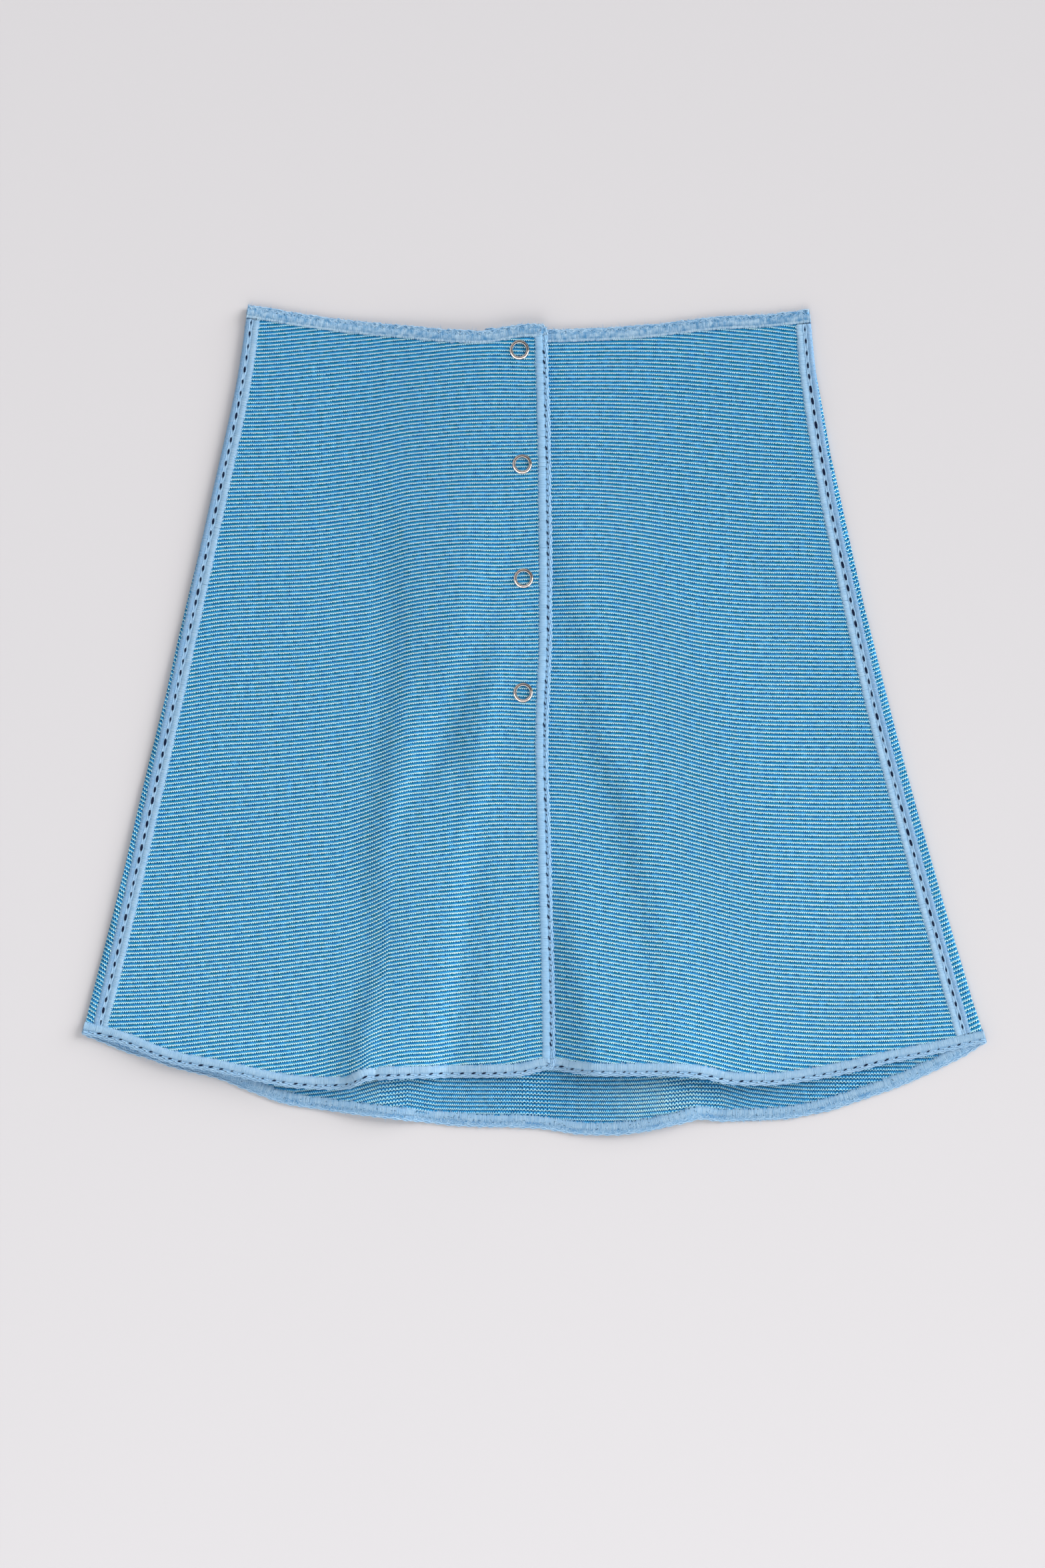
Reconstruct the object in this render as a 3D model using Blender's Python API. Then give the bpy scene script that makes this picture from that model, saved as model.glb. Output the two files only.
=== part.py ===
"""Knit skirt lying flat on its back panel.

An A-line mini skirt in fine striped knit: one back panel whose edges wrap round to the front,
two front panels that overlap at a placket closed by four ring snaps, and overlocked trims along
every edge. X runs across the skirt, Y from the hem to the waist, Z up off the surface.
The tables and sizes are in millimetres and the meshes are made in metres.
"""
import math

import bmesh
import bpy

MM = 0.001

# Cloth and trims
WALL = 1.2                # thickness of the knit
LAYER_GAP = 0.4           # air between panels that lie on each other
SEAM_GAP = 0.3            # parting between pieces that are sewn edge to edge
TRIM_WIDTH = 7.0          # overlocked edge: satin band and looped border
BAND_INNER = 1.1          # side bands run from here...
BAND_OUTER = 4.8          # ...to here, measured from the side seam
LADDER_HALF = 0.8         # half the width of the ladder that joins the side bands
KNIT_START = BAND_OUTER + SEAM_GAP

# Heights in a trim's cross-section: distance from the cloth's edge, top above the underside
TRIM_SECTION = ((0.0, 1.35), (2.6, 1.5), (TRIM_WIDTH, 0.8))
BACK_TRIM_SECTION = ((0.0, WALL), (2.6, WALL), (TRIM_WIDTH, 0.8))
BAND_SECTION = ((-BAND_OUTER, 1.3), (-2.9, 1.45), (-BAND_INNER, 1.25))
LADDER_SECTION = ((-LADDER_HALF, 1.0), (0.0, 1.15), (LADDER_HALF, 1.0))

# Side folds: the back panel turns up and over round a bend this wide
FOLD_HEIGHT = 2 * WALL + LAYER_GAP
FOLD_RADIUS = FOLD_HEIGHT / 2
MID_RADIUS = FOLD_RADIUS - WALL / 2

# Mesh density
FRONT_COLUMNS = 28
BACK_COLUMNS = 28
ROWS = 17
WRAP_STEPS = 10
WRAP_STEP = 0.95
BAND_STEPS = 5
END_STEPS = 5             # where a waist or hem trim runs on over the side bands

# Underlap: the right front panel runs on under the left one
UNDERLAP = 33.0

# Snap fasteners
SNAPS = ((-7.9, 197.7), (-6.4, 136.7), (-5.7, 75.7), (-5.9, 14.7))     # x and y of each, from the waist
SNAP_GAP = 1.85           # between the front panels at a snap
SNAP_SHELF = 0.5          # how far a hidden back ring lifts the under panel
SNAP_CLEAR = 0.2          # between a snap's parts and the cloth they are set on
RING_OUTER = 5.3
RING_INNER = 3.4
RING_HEIGHT = 0.75
RING_STEPS = 6            # straight sides in the rounded top of a ring
SOCKET_OUTER = 4.8
SOCKET_INNER = 2.2
SOCKET_HEIGHT = 0.85
STUD_OUTER = 4.4
STUD_POST = 1.8
STUD_HEIGHT = 1.25
FLANGE = 0.45             # thickness of the stud's and the back ring's flange


def table(names, *rows):
    """Named columns from rows of numbers."""
    return {name: [row[i] for row in rows] for i, name in enumerate(names.split())}


# Side lines: where the back panel folds over and where the side seams run
SIDES = table(
    "y left_fold left_seam right_seam right_fold",
    (222.0, -153.3, -150.3, 143.7, 147.1),
    (180.0, -159.5, -156.2, 147.6, 152.2),
    (120.0, -172.8, -168.8, 157.4, 163.8),
    (60.0, -186.8, -181.8, 170.2, 177.5),
    (0.0, -200.9, -194.8, 184.0, 192.2),
    (-60.0, -215.3, -208.2, 200.0, 208.8),
    (-120.0, -229.8, -222.0, 216.6, 225.8),
    (-175.0, -244.0, -235.2, 232.2, 242.8),
)

# Outer edge of the left front panel's placket trim
PLACKET = table(
    "y x",
    (212.0, 7.2), (193.0, 7.7), (136.0, 9.1), (47.0, 9.7), (-7.0, 7.8), (-78.0, 9.4), (-150.0, 11.2), (-190.0, 11.3),
)

# Waist edges
WAIST_LEFT = table(
    "x y",
    (-153.0, 222.6), (-115.0, 216.4), (-72.0, 211.6), (-29.0, 208.4), (-8.0, 211.6), (9.0, 212.0),
)
WAIST_RIGHT = table(
    "x y",
    (-25.0, 209.9), (8.0, 209.4), (24.0, 209.8), (57.0, 211.6), (99.0, 216.3), (121.0, 217.3), (147.0, 220.0),
)
WAIST_BACK = table(
    "x y",
    (-153.0, 221.4), (-115.0, 215.0), (-72.0, 210.2), (-29.0, 206.8), (8.0, 207.8), (57.0, 210.2),
    (99.0, 214.8), (147.0, 218.8),
)

# Hem edges
HEM_LEFT = table(
    "x y",
    (-242.3, -168.0), (-223.4, -172.7), (-194.8, -183.4), (-168.4, -188.6), (-134.7, -195.8), (-117.8, -197.4),
    (-103.0, -197.3), (-97.5, -196.3), (-89.5, -192.7), (-83.5, -192.0), (-58.8, -191.5), (-8.0, -190.5),
    (5.5, -187.4), (12.0, -186.9),
)
HEM_RIGHT = table(
    "x y",
    (-25.0, -186.0), (0.0, -186.2), (12.0, -187.2), (19.0, -188.6), (37.0, -189.8), (75.0, -189.9), (89.0, -191.2),
    (103.0, -194.5), (116.0, -195.2), (133.0, -194.8), (166.0, -189.4), (189.0, -183.9), (211.0, -179.6),
    (242.3, -172.7),
)
HEM_BACK = table(
    "x y",
    (-242.3, -168.3), (-200.5, -183.9), (-168.4, -192.3), (-136.3, -204.8), (-114.8, -208.8), (-72.0, -214.0),
    (-29.0, -218.0), (0.0, -218.6), (28.0, -222.3), (56.6, -220.9), (78.0, -216.3), (88.8, -213.6),
    (103.0, -215.2), (142.0, -212.7), (185.0, -200.5), (217.0, -187.0), (242.3, -173.0),
)

# Soft ridge down the left front panel: its two flanks and how far it stands up
RIDGE = table(
    "y left right rise",
    (125.0, -73.5, -21.0, 0.0), (100.0, -73.5, -24.0, 1.2), (64.0, -72.0, -30.0, 2.1), (29.0, -72.7, -40.0, 2.8),
    (-7.0, -77.0, -54.0, 3.4), (-43.0, -82.7, -65.0, 3.7), (-78.0, -86.0, -72.0, 3.6), (-114.0, -83.0, -72.0, 3.9),
    (-150.0, -89.0, -75.0, 4.1), (-171.0, -97.0, -80.0, 4.2), (-195.0, -99.0, -82.0, 4.4),
)

# Second ridge, which starts beside the placket and joins the first one lower down
BRANCH = table(
    "y left right rise",
    (75.0, -16.0, -8.0, 0.0), (64.0, -18.0, -10.0, 0.5), (29.0, -24.0, -16.0, 1.4), (-7.0, -41.0, -22.7, 2.2),
    (-24.0, -51.0, -25.5, 2.6), (-43.0, -66.0, -28.4, 3.1), (-78.0, -80.0, -36.3, 3.4), (-114.0, -80.0, -40.5, 3.5),
    (-150.0, -84.0, -46.5, 3.5), (-195.0, -92.0, -53.0, 3.5),
)
RIDGE_WIDTHS = (13.0, 20.0)
BRANCH_WIDTHS = (20.0, 12.5)

# Broad swell of the right front panel, rising along a slanting line and fading to the side
SWELL = table(
    "y left right rise",
    (120.0, 8.0, 60.0, 0.0), (100.0, 11.0, 75.0, 0.8), (65.0, 18.0, 95.0, 1.8), (29.0, 29.0, 112.0, 2.2),
    (-7.0, 31.5, 126.0, 2.6), (-43.0, 46.0, 140.0, 3.2), (-78.0, 53.5, 150.0, 2.9), (-114.0, 62.0, 160.0, 2.0),
    (-150.0, 66.0, 168.0, 0.9), (-195.0, 70.0, 172.0, 0.6),
)
SWELL_LEFT_WIDTH = 15.0
SWELL_RIGHT_WIDTH = 70.0

# Rise of the right front panel just past the placket, towards the hem
PLACKET_RISE = table(
    "y left width rise",
    (-65.0, 15.0, 7.0, 0.0), (-90.0, 15.5, 8.0, 1.9), (-114.0, 16.3, 9.5, 3.6), (-150.0, 19.5, 16.0, 6.0),
    (-195.0, 23.0, 23.0, 8.2),
)
PLACKET_RISE_END = 95.0
PLACKET_RISE_END_WIDTH = 130.0

# Waves in the back panel's hem: flank, crest side, height
HEM_WAVES = table(
    "left left_width right right_width rise",
    (-104.0, 46.0, -65.0, 26.0, 2.8),
    (40.0, 66.0, 90.0, 30.0, 2.6),
)
HEM_WAVE_START = -135.0
HEM_WAVE_LENGTH = 75.0

# Slope that carries the left front panel up onto the under panel: start at the top and lower down
LAP_START_UPPER = -72.0
LAP_START_LOWER = -42.0
LAP_END = -22.0
LAP_LEVEL = 0.0           # half way between the two starts
LAP_CHANGE = 90.0
REST_GAP = 0.5            # between the front panels below the snaps
LAP_OPEN_END = -60.0      # the snaps hold the panels apart down to here
LAP_OPEN_FADE = 52.0
SHELF_END = 22.0
SHELF_FADE = 24.0


def spline(xs, ys):
    """Smooth curve through the points of a table, straight beyond its ends."""
    points = sorted(zip(xs, ys))
    count = len(points)
    slopes = []
    for i in range(count):
        before = points[max(i - 1, 0)]
        after = points[min(i + 1, count - 1)]
        slopes.append((after[1] - before[1]) / (after[0] - before[0]))

    def value(x):
        if x <= points[0][0]:
            return points[0][1] + slopes[0] * (x - points[0][0])
        if x >= points[-1][0]:
            return points[-1][1] + slopes[-1] * (x - points[-1][0])
        i = 0
        while points[i + 1][0] < x:
            i += 1
        (x0, y0), (x1, y1) = points[i], points[i + 1]
        span = x1 - x0
        t = (x - x0) / span
        rise = (2 * t**3 - 3 * t**2 + 1) * y0 + (3 * t**2 - 2 * t**3) * y1
        bend = (t**3 - 2 * t**2 + t) * slopes[i] + (t**3 - t**2) * slopes[i + 1]
        return rise + span * bend

    return value


left_fold = spline(SIDES["y"], SIDES["left_fold"])
left_seam = spline(SIDES["y"], SIDES["left_seam"])
right_seam = spline(SIDES["y"], SIDES["right_seam"])
right_fold = spline(SIDES["y"], SIDES["right_fold"])
placket = spline(PLACKET["y"], PLACKET["x"])
waist_left = spline(WAIST_LEFT["x"], WAIST_LEFT["y"])
waist_right = spline(WAIST_RIGHT["x"], WAIST_RIGHT["y"])
waist_back = spline(WAIST_BACK["x"], WAIST_BACK["y"])
hem_left = spline(HEM_LEFT["x"], HEM_LEFT["y"])
hem_right = spline(HEM_RIGHT["x"], HEM_RIGHT["y"])
hem_back = spline(HEM_BACK["x"], HEM_BACK["y"])
ridge_left = spline(RIDGE["y"], RIDGE["left"])
ridge_right = spline(RIDGE["y"], RIDGE["right"])
ridge_rise = spline(RIDGE["y"], RIDGE["rise"])
branch_left = spline(BRANCH["y"], BRANCH["left"])
branch_right = spline(BRANCH["y"], BRANCH["right"])
branch_rise = spline(BRANCH["y"], BRANCH["rise"])
swell_left = spline(SWELL["y"], SWELL["left"])
swell_right = spline(SWELL["y"], SWELL["right"])
swell_rise = spline(SWELL["y"], SWELL["rise"])
placket_rise_left = spline(PLACKET_RISE["y"], PLACKET_RISE["left"])
placket_rise_width = spline(PLACKET_RISE["y"], PLACKET_RISE["width"])
placket_rise = spline(PLACKET_RISE["y"], PLACKET_RISE["rise"])


def underlap_edge(y):
    """Hidden outer edge of the right front panel."""
    return placket(y) - UNDERLAP


def slant(curve, t):
    """How much longer a width gets when it is measured along an axis, not square to the edge."""
    slope = (curve(t + 1.0) - curve(t - 1.0)) / 2.0
    return math.sqrt(1.0 + slope * slope)


def step(t):
    """Soft step from 0 to 1."""
    t = min(max(t, 0.0), 1.0)
    return t * t * (3.0 - 2.0 * t)


def flank(x, middle, width):
    """Soft step in x, half way up at the middle."""
    return step((x - middle) / width + 0.5)


def back_lift(x, y):
    """How far the back panel stands off the surface: waves along its hem."""
    waves = 0.0
    for left, left_width, right, right_width, rise in zip(*HEM_WAVES.values()):
        waves += rise * flank(x, left, left_width) * (1.0 - flank(x, right, right_width))
    return waves * step((HEM_WAVE_START - y) / HEM_WAVE_LENGTH)


def front_floor(x, y):
    """Lowest height for a front panel's underside."""
    return WALL + LAYER_GAP + back_lift(x, y)


def right_under(x, y):
    """Underside of the right front panel."""
    shelf = SNAP_SHELF * (1.0 - flank(x, SHELF_END, SHELF_FADE)) * step((y + 20.0) / 22.0)
    swell = max(swell_rise(y), 0.0) if y < SWELL["y"][0] else 0.0
    swell *= flank(x, swell_left(y), SWELL_LEFT_WIDTH) * (1.0 - flank(x, swell_right(y), SWELL_RIGHT_WIDTH))
    rise = max(placket_rise(y), 0.0) if y < PLACKET_RISE["y"][0] else 0.0
    rise *= flank(x, placket_rise_left(y), placket_rise_width(y))
    rise *= 1.0 - flank(x, PLACKET_RISE_END, PLACKET_RISE_END_WIDTH)
    return front_floor(x, y) + shelf + swell + rise


def lap_gap(y):
    """Air between the front panels where they overlap: more down to the last snap."""
    return REST_GAP + (SNAP_GAP - REST_GAP) * step((y - LAP_OPEN_END) / LAP_OPEN_FADE)


def ridge_height(x, y, start, left, right, rise, widths):
    """Height of a ridge between its two flanks, from the level where it starts."""
    height = max(rise(y), 0.0) if y < start else 0.0
    return height * flank(x, left(y), widths[0]) * (1.0 - flank(x, right(y), widths[1]))


def left_under(x, y):
    """Underside of the left front panel."""
    ridge = ridge_height(x, y, RIDGE["y"][0], ridge_left, ridge_right, ridge_rise, RIDGE_WIDTHS)
    branch = ridge_height(x, y, BRANCH["y"][0], branch_left, branch_right, branch_rise, BRANCH_WIDTHS)
    own = front_floor(x, y)
    lap = right_under(max(x, underlap_edge(y)), y) + WALL + lap_gap(y)
    start = LAP_START_LOWER + (LAP_START_UPPER - LAP_START_LOWER) * flank(y, LAP_LEVEL, LAP_CHANGE)
    return own + (lap - own) * step((x - start) / (LAP_END - start)) + max(ridge, branch)


def front_under(x, y):
    """Underside of whichever front panel shows."""
    return left_under(x, y) if x < placket(y) else right_under(x, y)


def panel_plan(columns, rows, left, right, top, bottom):
    """Plan points of a panel: rows from its top edge down, columns from left to right."""
    plan = []
    for j in range(rows + 1):
        v = j / rows
        line = []
        for i in range(columns + 1):
            u = i / columns
            x = y = 0.0
            for _ in range(12):
                x = left(y) + (right(y) - left(y)) * u
                y = top(x) + (bottom(x) - top(x)) * v
            line.append((x, y))
        plan.append(line)
    return plan


def wrap_point(distance, y, side):
    """Middle of the back cloth at a distance outward from the seam, round the fold: x, z, normal."""
    seam = left_seam(y) if side < 0 else right_seam(y)
    fold = left_fold(y) if side < 0 else right_fold(y)
    bend = abs(seam - fold) - FOLD_RADIUS
    turn = math.pi * MID_RADIUS
    if distance <= bend:
        return seam + side * distance, WALL * 1.5 + LAYER_GAP, (0.0, 1.0)
    if distance <= bend + turn:
        angle = (distance - bend) / MID_RADIUS
        out, up = math.sin(angle), math.cos(angle)
        x = seam + side * (bend + MID_RADIUS * out)
        return x, FOLD_RADIUS + MID_RADIUS * up, (side * out, up)
    return seam + side * (bend - (distance - bend - turn)), WALL / 2, (0.0, -1.0)


def make_material(name, colour, roughness, metallic):
    material = bpy.data.materials.new(name)
    material.use_nodes = True
    shader = material.node_tree.nodes["Principled BSDF"]
    shader.inputs["Base Color"].default_value = (*colour, 1.0)
    shader.inputs["Roughness"].default_value = roughness
    shader.inputs["Metallic"].default_value = metallic
    material.diffuse_color = (*colour, 1.0)
    return material


def make_object(name, vertices, faces, material, smooth=True):
    """A closed body from points in millimetres."""
    mesh = bpy.data.meshes.new(name)
    mesh.from_pydata([(x * MM, y * MM, z * MM) for x, y, z in vertices], [], faces)
    shape = bmesh.new()
    shape.from_mesh(mesh)
    bmesh.ops.recalc_face_normals(shape, faces=shape.faces)
    shape.to_mesh(mesh)
    shape.free()
    if smooth:
        mesh.shade_smooth()
        mesh.set_sharp_from_angle(angle=math.radians(50.0))
    mesh.materials.append(material)
    item = bpy.data.objects.new(name, mesh)
    bpy.context.collection.objects.link(item)
    return item


def make_shell(name, upper, lower, material):
    """A wall of cloth between two grids of points."""
    rows, columns = len(upper), len(upper[0])
    vertices = [point for line in upper for point in line] + [point for line in lower for point in line]
    under = rows * columns

    def at(j, i):
        return j * columns + i

    faces = []
    for j in range(rows - 1):
        for i in range(columns - 1):
            quad = (at(j, i), at(j + 1, i), at(j + 1, i + 1), at(j, i + 1))
            faces.append(quad)
            faces.append(tuple(under + k for k in reversed(quad)))
    # The rim is split the same way as the strips sewn to it, so the facing walls stay parallel
    for i in (0, columns - 1):
        for j in range(rows - 1):
            faces.append((at(j, i), at(j + 1, i), under + at(j + 1, i), under + at(j, i)))
    for j in (0, rows - 1):
        for i in range(columns - 1):
            faces.append((under + at(j, i), under + at(j, i + 1), at(j, i + 1), at(j, i)))
    return make_object(name, vertices, faces, material)


def make_tube(name, rings, material):
    """A solid strip through closed sections, capped at both ends."""
    size = len(rings[0])
    vertices = [point for ring in rings for point in ring]
    faces = []
    for j in range(len(rings) - 1):
        for i in range(size):
            k = (i + 1) % size
            faces.append((j * size + i, j * size + k, (j + 1) * size + k, (j + 1) * size + i))
    faces.append(tuple(range(size)))
    faces.append(tuple((len(rings) - 1) * size + i for i in range(size)))
    return make_object(name, vertices, faces, material)


def make_turned(name, profile, segments, material):
    """A turned piece from a closed profile of radius and height; points on the axis are shared."""
    vertices, index = [], []
    for radius, height in profile:
        if radius == 0.0:
            index.append([len(vertices)] * segments)
            vertices.append((0.0, 0.0, height))
            continue
        index.append([len(vertices) + k for k in range(segments)])
        for k in range(segments):
            angle = 2 * math.pi * k / segments
            vertices.append((radius * math.cos(angle), radius * math.sin(angle), height))
    faces = []
    for a, b in zip(index, index[1:] + index[:1]):
        for k in range(segments):
            m = (k + 1) % segments
            corners = dict.fromkeys((a[k], a[m], b[m], b[k]))
            if len(corners) > 2:
                faces.append(tuple(corners))
    return make_object(name, vertices, faces, material)


def front_panel(name, left, right, top, bottom, under, material):
    """A front panel: its plan, lifted to its underside, and the same points moved up by the wall."""
    plan = panel_plan(FRONT_COLUMNS, ROWS, left, right, top, bottom)
    lower = [[(x, y, under(x, y)) for x, y in line] for line in plan]
    upper = [[(x, y, z + WALL) for x, y, z in line] for line in lower]
    make_shell(name, upper, lower, material)
    return plan


def section(place, under, profile, t):
    """Closed cross-section of a trim at a station along its edge."""
    tops, feet = [], []
    for distance, height in profile:
        x, y = place(t, distance)
        z = under(x, y)
        tops.append((x, y, z + height))
        feet.append((x, y, z))
    return tops + feet[::-1]


def edge_across(curve, side):
    """Plan of a waist or hem trim: side is 1 where the trim's outer edge faces the waist."""
    def place(x, distance):
        inner = curve(x) - side * TRIM_WIDTH * slant(curve, x)
        return x, inner + side * distance * slant(curve, x)
    return place


def edge_along(curve, side):
    """Plan of a placket trim: side is 1 where its outer edge faces right."""
    def place(y, distance):
        inner = curve(y) - side * TRIM_WIDTH
        return inner + side * distance, y
    return place


def beside_seam(seam, side):
    """Plan of a strip along a side seam, with distance measured outward."""
    def place(y, distance):
        return seam(y) + side * distance * slant(seam, y), y
    return place


def stations(start, end, count):
    return [start + (end - start) * k / count for k in range(count + 1)]


def inner_edge(curve, side):
    """The knit's boundary inside a waist or hem trim."""
    return lambda x: curve(x) - side * (TRIM_WIDTH * slant(curve, x) + SEAM_GAP)


KNIT_LINES = {
    "left": (inner_edge(waist_left, 1), inner_edge(hem_left, -1)),
    "right": (inner_edge(waist_right, 1), inner_edge(hem_right, -1)),
    "back": (inner_edge(waist_back, 1), inner_edge(hem_back, -1)),
}


def crossing(across, along):
    """Where an upright line crosses a waist or hem line, as a distance across the skirt."""
    x = 0.0
    for _ in range(20):
        x = along(across(x))
    return x


def upright_rows(ys, place, low, high, layers):
    """Rows for a strip that runs from waist to hem, its corners clear of the slanting trims."""
    tops = [KNIT_LINES[layer][0](place(ys[0], distance)[0]) for layer in layers for distance in (low, high)]
    bottoms = [KNIT_LINES[layer][1](place(ys[-1], distance)[0]) for layer in layers for distance in (low, high)]
    start, end = min(tops), max(bottoms)
    return [start] + [y for y in ys if end + TRIM_WIDTH < y < start - TRIM_WIDTH] + [end]


def make_front(cloth, thread):
    """Both front panels with their waist, hem and placket trims."""
    left_start = lambda y: left_seam(y) + KNIT_START * slant(left_seam, y)
    right_end = lambda y: right_seam(y) - KNIT_START * slant(right_seam, y)
    left_end = lambda y: placket(y) - TRIM_WIDTH - SEAM_GAP
    right_start = lambda y: underlap_edge(y) + TRIM_WIDTH + SEAM_GAP

    left_plan = front_panel("front_left_panel", left_start, left_end, *KNIT_LINES["left"], left_under, cloth)
    right_plan = front_panel("front_right_panel", right_start, right_end, *KNIT_LINES["right"], right_under, cloth)

    # Waist and hem trims share the panels' columns and run on over the side bands to the folds
    def trim_row(name, curve, side, line, ends, under):
        xs = [x for x, _ in line]
        low, high = ends
        xs = stations(low, xs[0], END_STEPS)[:-1] + xs + stations(xs[-1], high, END_STEPS)[1:]
        place = edge_across(curve, side)
        make_tube(name, [section(place, under, TRIM_SECTION, x) for x in xs], thread)

    trim_row("waist_trim_left", waist_left, 1, left_plan[0],
             (crossing(waist_left, left_fold) + SEAM_GAP, crossing(waist_left, placket)), left_under)
    trim_row("hem_trim_left", hem_left, -1, left_plan[-1],
             (HEM_LEFT["x"][0], crossing(hem_left, placket)), left_under)
    trim_row("waist_trim_right", waist_right, 1, right_plan[0],
             (crossing(waist_right, underlap_edge), crossing(waist_right, right_fold) - SEAM_GAP), right_under)
    trim_row("hem_trim_right", hem_right, -1, right_plan[-1],
             (crossing(hem_right, underlap_edge), HEM_RIGHT["x"][-1]), right_under)

    # Placket trims: the one that shows and the one on the hidden underlap edge
    for name, curve, side, layer, ys, under in (
            ("placket_trim_left", placket, 1, "left", [line[-1][1] for line in left_plan], left_under),
            ("placket_trim_right", underlap_edge, -1, "right", [line[0][1] for line in right_plan], right_under)):
        place = edge_along(curve, side)
        ys = upright_rows(ys, place, 0.0, TRIM_WIDTH, (layer,))
        make_tube(name, [section(place, under, TRIM_SECTION, y) for y in ys], thread)


def make_sides(thread):
    """Front bands, back bands and the ladders that join them, down both side seams."""
    for side, word, seam in ((-1, "left", left_seam), (1, "right", right_seam)):
        place = beside_seam(seam, side)
        rows = [back_points(j / ROWS)[0 if side < 0 else -1][1] for j in range(ROWS + 1)]
        for name, profile in (("side_band_front_", BAND_SECTION), ("seam_ladder_", LADDER_SECTION)):
            ys = upright_rows(rows, place, profile[0][0], profile[-1][0], (word,))
            make_tube(name + word, [section(place, front_floor, profile, y) for y in ys], thread)
        rings = []
        for y in upright_rows(rows, place, BAND_INNER, BAND_OUTER, (word, "back")):
            outer, inner = [], []
            for distance in stations(BAND_INNER, BAND_OUTER, BAND_STEPS):
                x, z, (nx, nz) = wrap_point(distance * slant(seam, y), y, side)
                half = WALL / 2
                outer.append((x + nx * half, y, z + nz * half))
                inner.append((x - nx * half, y, z - nz * half))
            rings.append(outer + inner[::-1])
        make_tube("side_band_back_" + word, rings, thread)


def back_points(v):
    """One row of the back panel: from the left lip round the fold, across and up the right side."""
    low_top, low_bottom = KNIT_LINES["back"]

    def y_at(x, side, turned):
        """The turned-up lip ends where the front's trims begin, the flat part at the back's own."""
        front_top, front_bottom = KNIT_LINES["left" if side < 0 else "right"]
        top = front_top(x) * (1.0 - turned) + low_top(x) * turned
        bottom = front_bottom(x) * (1.0 - turned) + low_bottom(x) * turned
        return top + (bottom - top) * v

    row = []
    wraps = [KNIT_START + k * WRAP_STEP for k in range(WRAP_STEPS + 1)]
    for side in (-1, 1):
        seam = left_seam if side < 0 else right_seam
        points = []
        for distance in wraps:
            y = y_at(seam(0.0), side, 1.0)
            for _ in range(8):
                x, z, normal = wrap_point(distance * slant(seam, y), y, side)
                y = y_at(x, side, (1.0 - normal[1]) / 2)
            points.append((x, y, z, normal))
        row.append(points)
    left, right = row[0], row[1][::-1]
    middle = []
    for k in range(1, BACK_COLUMNS):
        u = k / BACK_COLUMNS
        x = left[-1][0] + (right[0][0] - left[-1][0]) * u
        middle.append((x, y_at(x, 1, 1.0), WALL / 2, (0.0, -1.0)))
    return left + middle + right


def make_back(cloth, thread):
    """The back panel with its turned-up sides, and its waist and hem trims."""
    outer, inner, edges = [], [], []
    for j in range(ROWS + 1):
        points = back_points(j / ROWS)
        edges.append([x for x, _, _, normal in points if normal[1] < -0.9])
        lifts = [back_lift(x, y) for x, y, _, _ in points]
        half = WALL / 2
        outer.append([(x + n[0] * half, y, z + n[1] * half + up) for (x, y, z, n), up in zip(points, lifts)])
        inner.append([(x - n[0] * half, y, z - n[1] * half + up) for (x, y, z, n), up in zip(points, lifts)])
    make_shell("back_panel", outer, inner, cloth)

    # The trims share the panel's columns, so that the pieces keep their parting
    waist_ends = (crossing(waist_back, left_fold) + SEAM_GAP, crossing(waist_back, right_fold) - SEAM_GAP)
    hem_ends = (HEM_BACK["x"][0], HEM_BACK["x"][-1])
    for name, curve, side, (low, high), xs in (
            ("waist_trim_back", waist_back, 1, waist_ends, edges[0]),
            ("hem_trim_back", hem_back, -1, hem_ends, edges[-1])):
        place = edge_across(curve, side)
        xs = [low] + [x for x in xs if low + WALL < x < high - WALL] + [high]
        make_tube(name, [section(place, back_lift, BACK_TRIM_SECTION, x) for x in xs], thread)


def hollow(inner, outer, height):
    """Profile of a flat ring."""
    return [(inner, 0.0), (outer, 0.0), (outer, height), (inner, height)]


def make_snaps(metal):
    """Four ring snaps, fastened: cap ring on the placket, socket and stud between, back ring below."""
    ring_middle = (RING_OUTER + RING_INNER) / 2
    cap = []
    for k in range(RING_STEPS + 1):
        angle = math.pi * k / RING_STEPS
        radius = ring_middle + (RING_OUTER - RING_INNER) / 2 * math.cos(angle)
        cap.append((radius, RING_HEIGHT * math.sin(angle)))
    stud = [(0.0, 0.0), (STUD_OUTER, 0.0), (STUD_OUTER, FLANGE), (STUD_POST, FLANGE), (STUD_POST, STUD_HEIGHT),
            (0.0, STUD_HEIGHT)]
    profiles = {
        "ring": (cap, 28),
        "socket": (hollow(SOCKET_INNER, SOCKET_OUTER, SOCKET_HEIGHT), 16),
        "stud": (stud, 16),
        "back_ring": (hollow(RING_INNER, RING_OUTER, FLANGE), 20),
    }
    for number, (x, y) in enumerate(SNAPS, start=1):
        holder = bpy.data.objects.new("snap_%d" % number, None)
        bpy.context.collection.objects.link(holder)
        holder.location = (x * MM, y * MM, 0.0)
        under_top = right_under(x, y) + WALL
        upper_top = left_under(x, y) + WALL
        heights = {
            "ring": upper_top + SNAP_CLEAR,
            "socket": upper_top - WALL - SNAP_CLEAR - SOCKET_HEIGHT,
            "stud": under_top + SNAP_CLEAR,
            "back_ring": WALL + SNAP_CLEAR,
        }
        for part, (profile, segments) in profiles.items():
            piece = make_turned("snap_%d_%s" % (number, part), profile, segments, metal)
            piece.parent = holder
            piece.location = (0.0, 0.0, heights[part] * MM)


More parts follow.
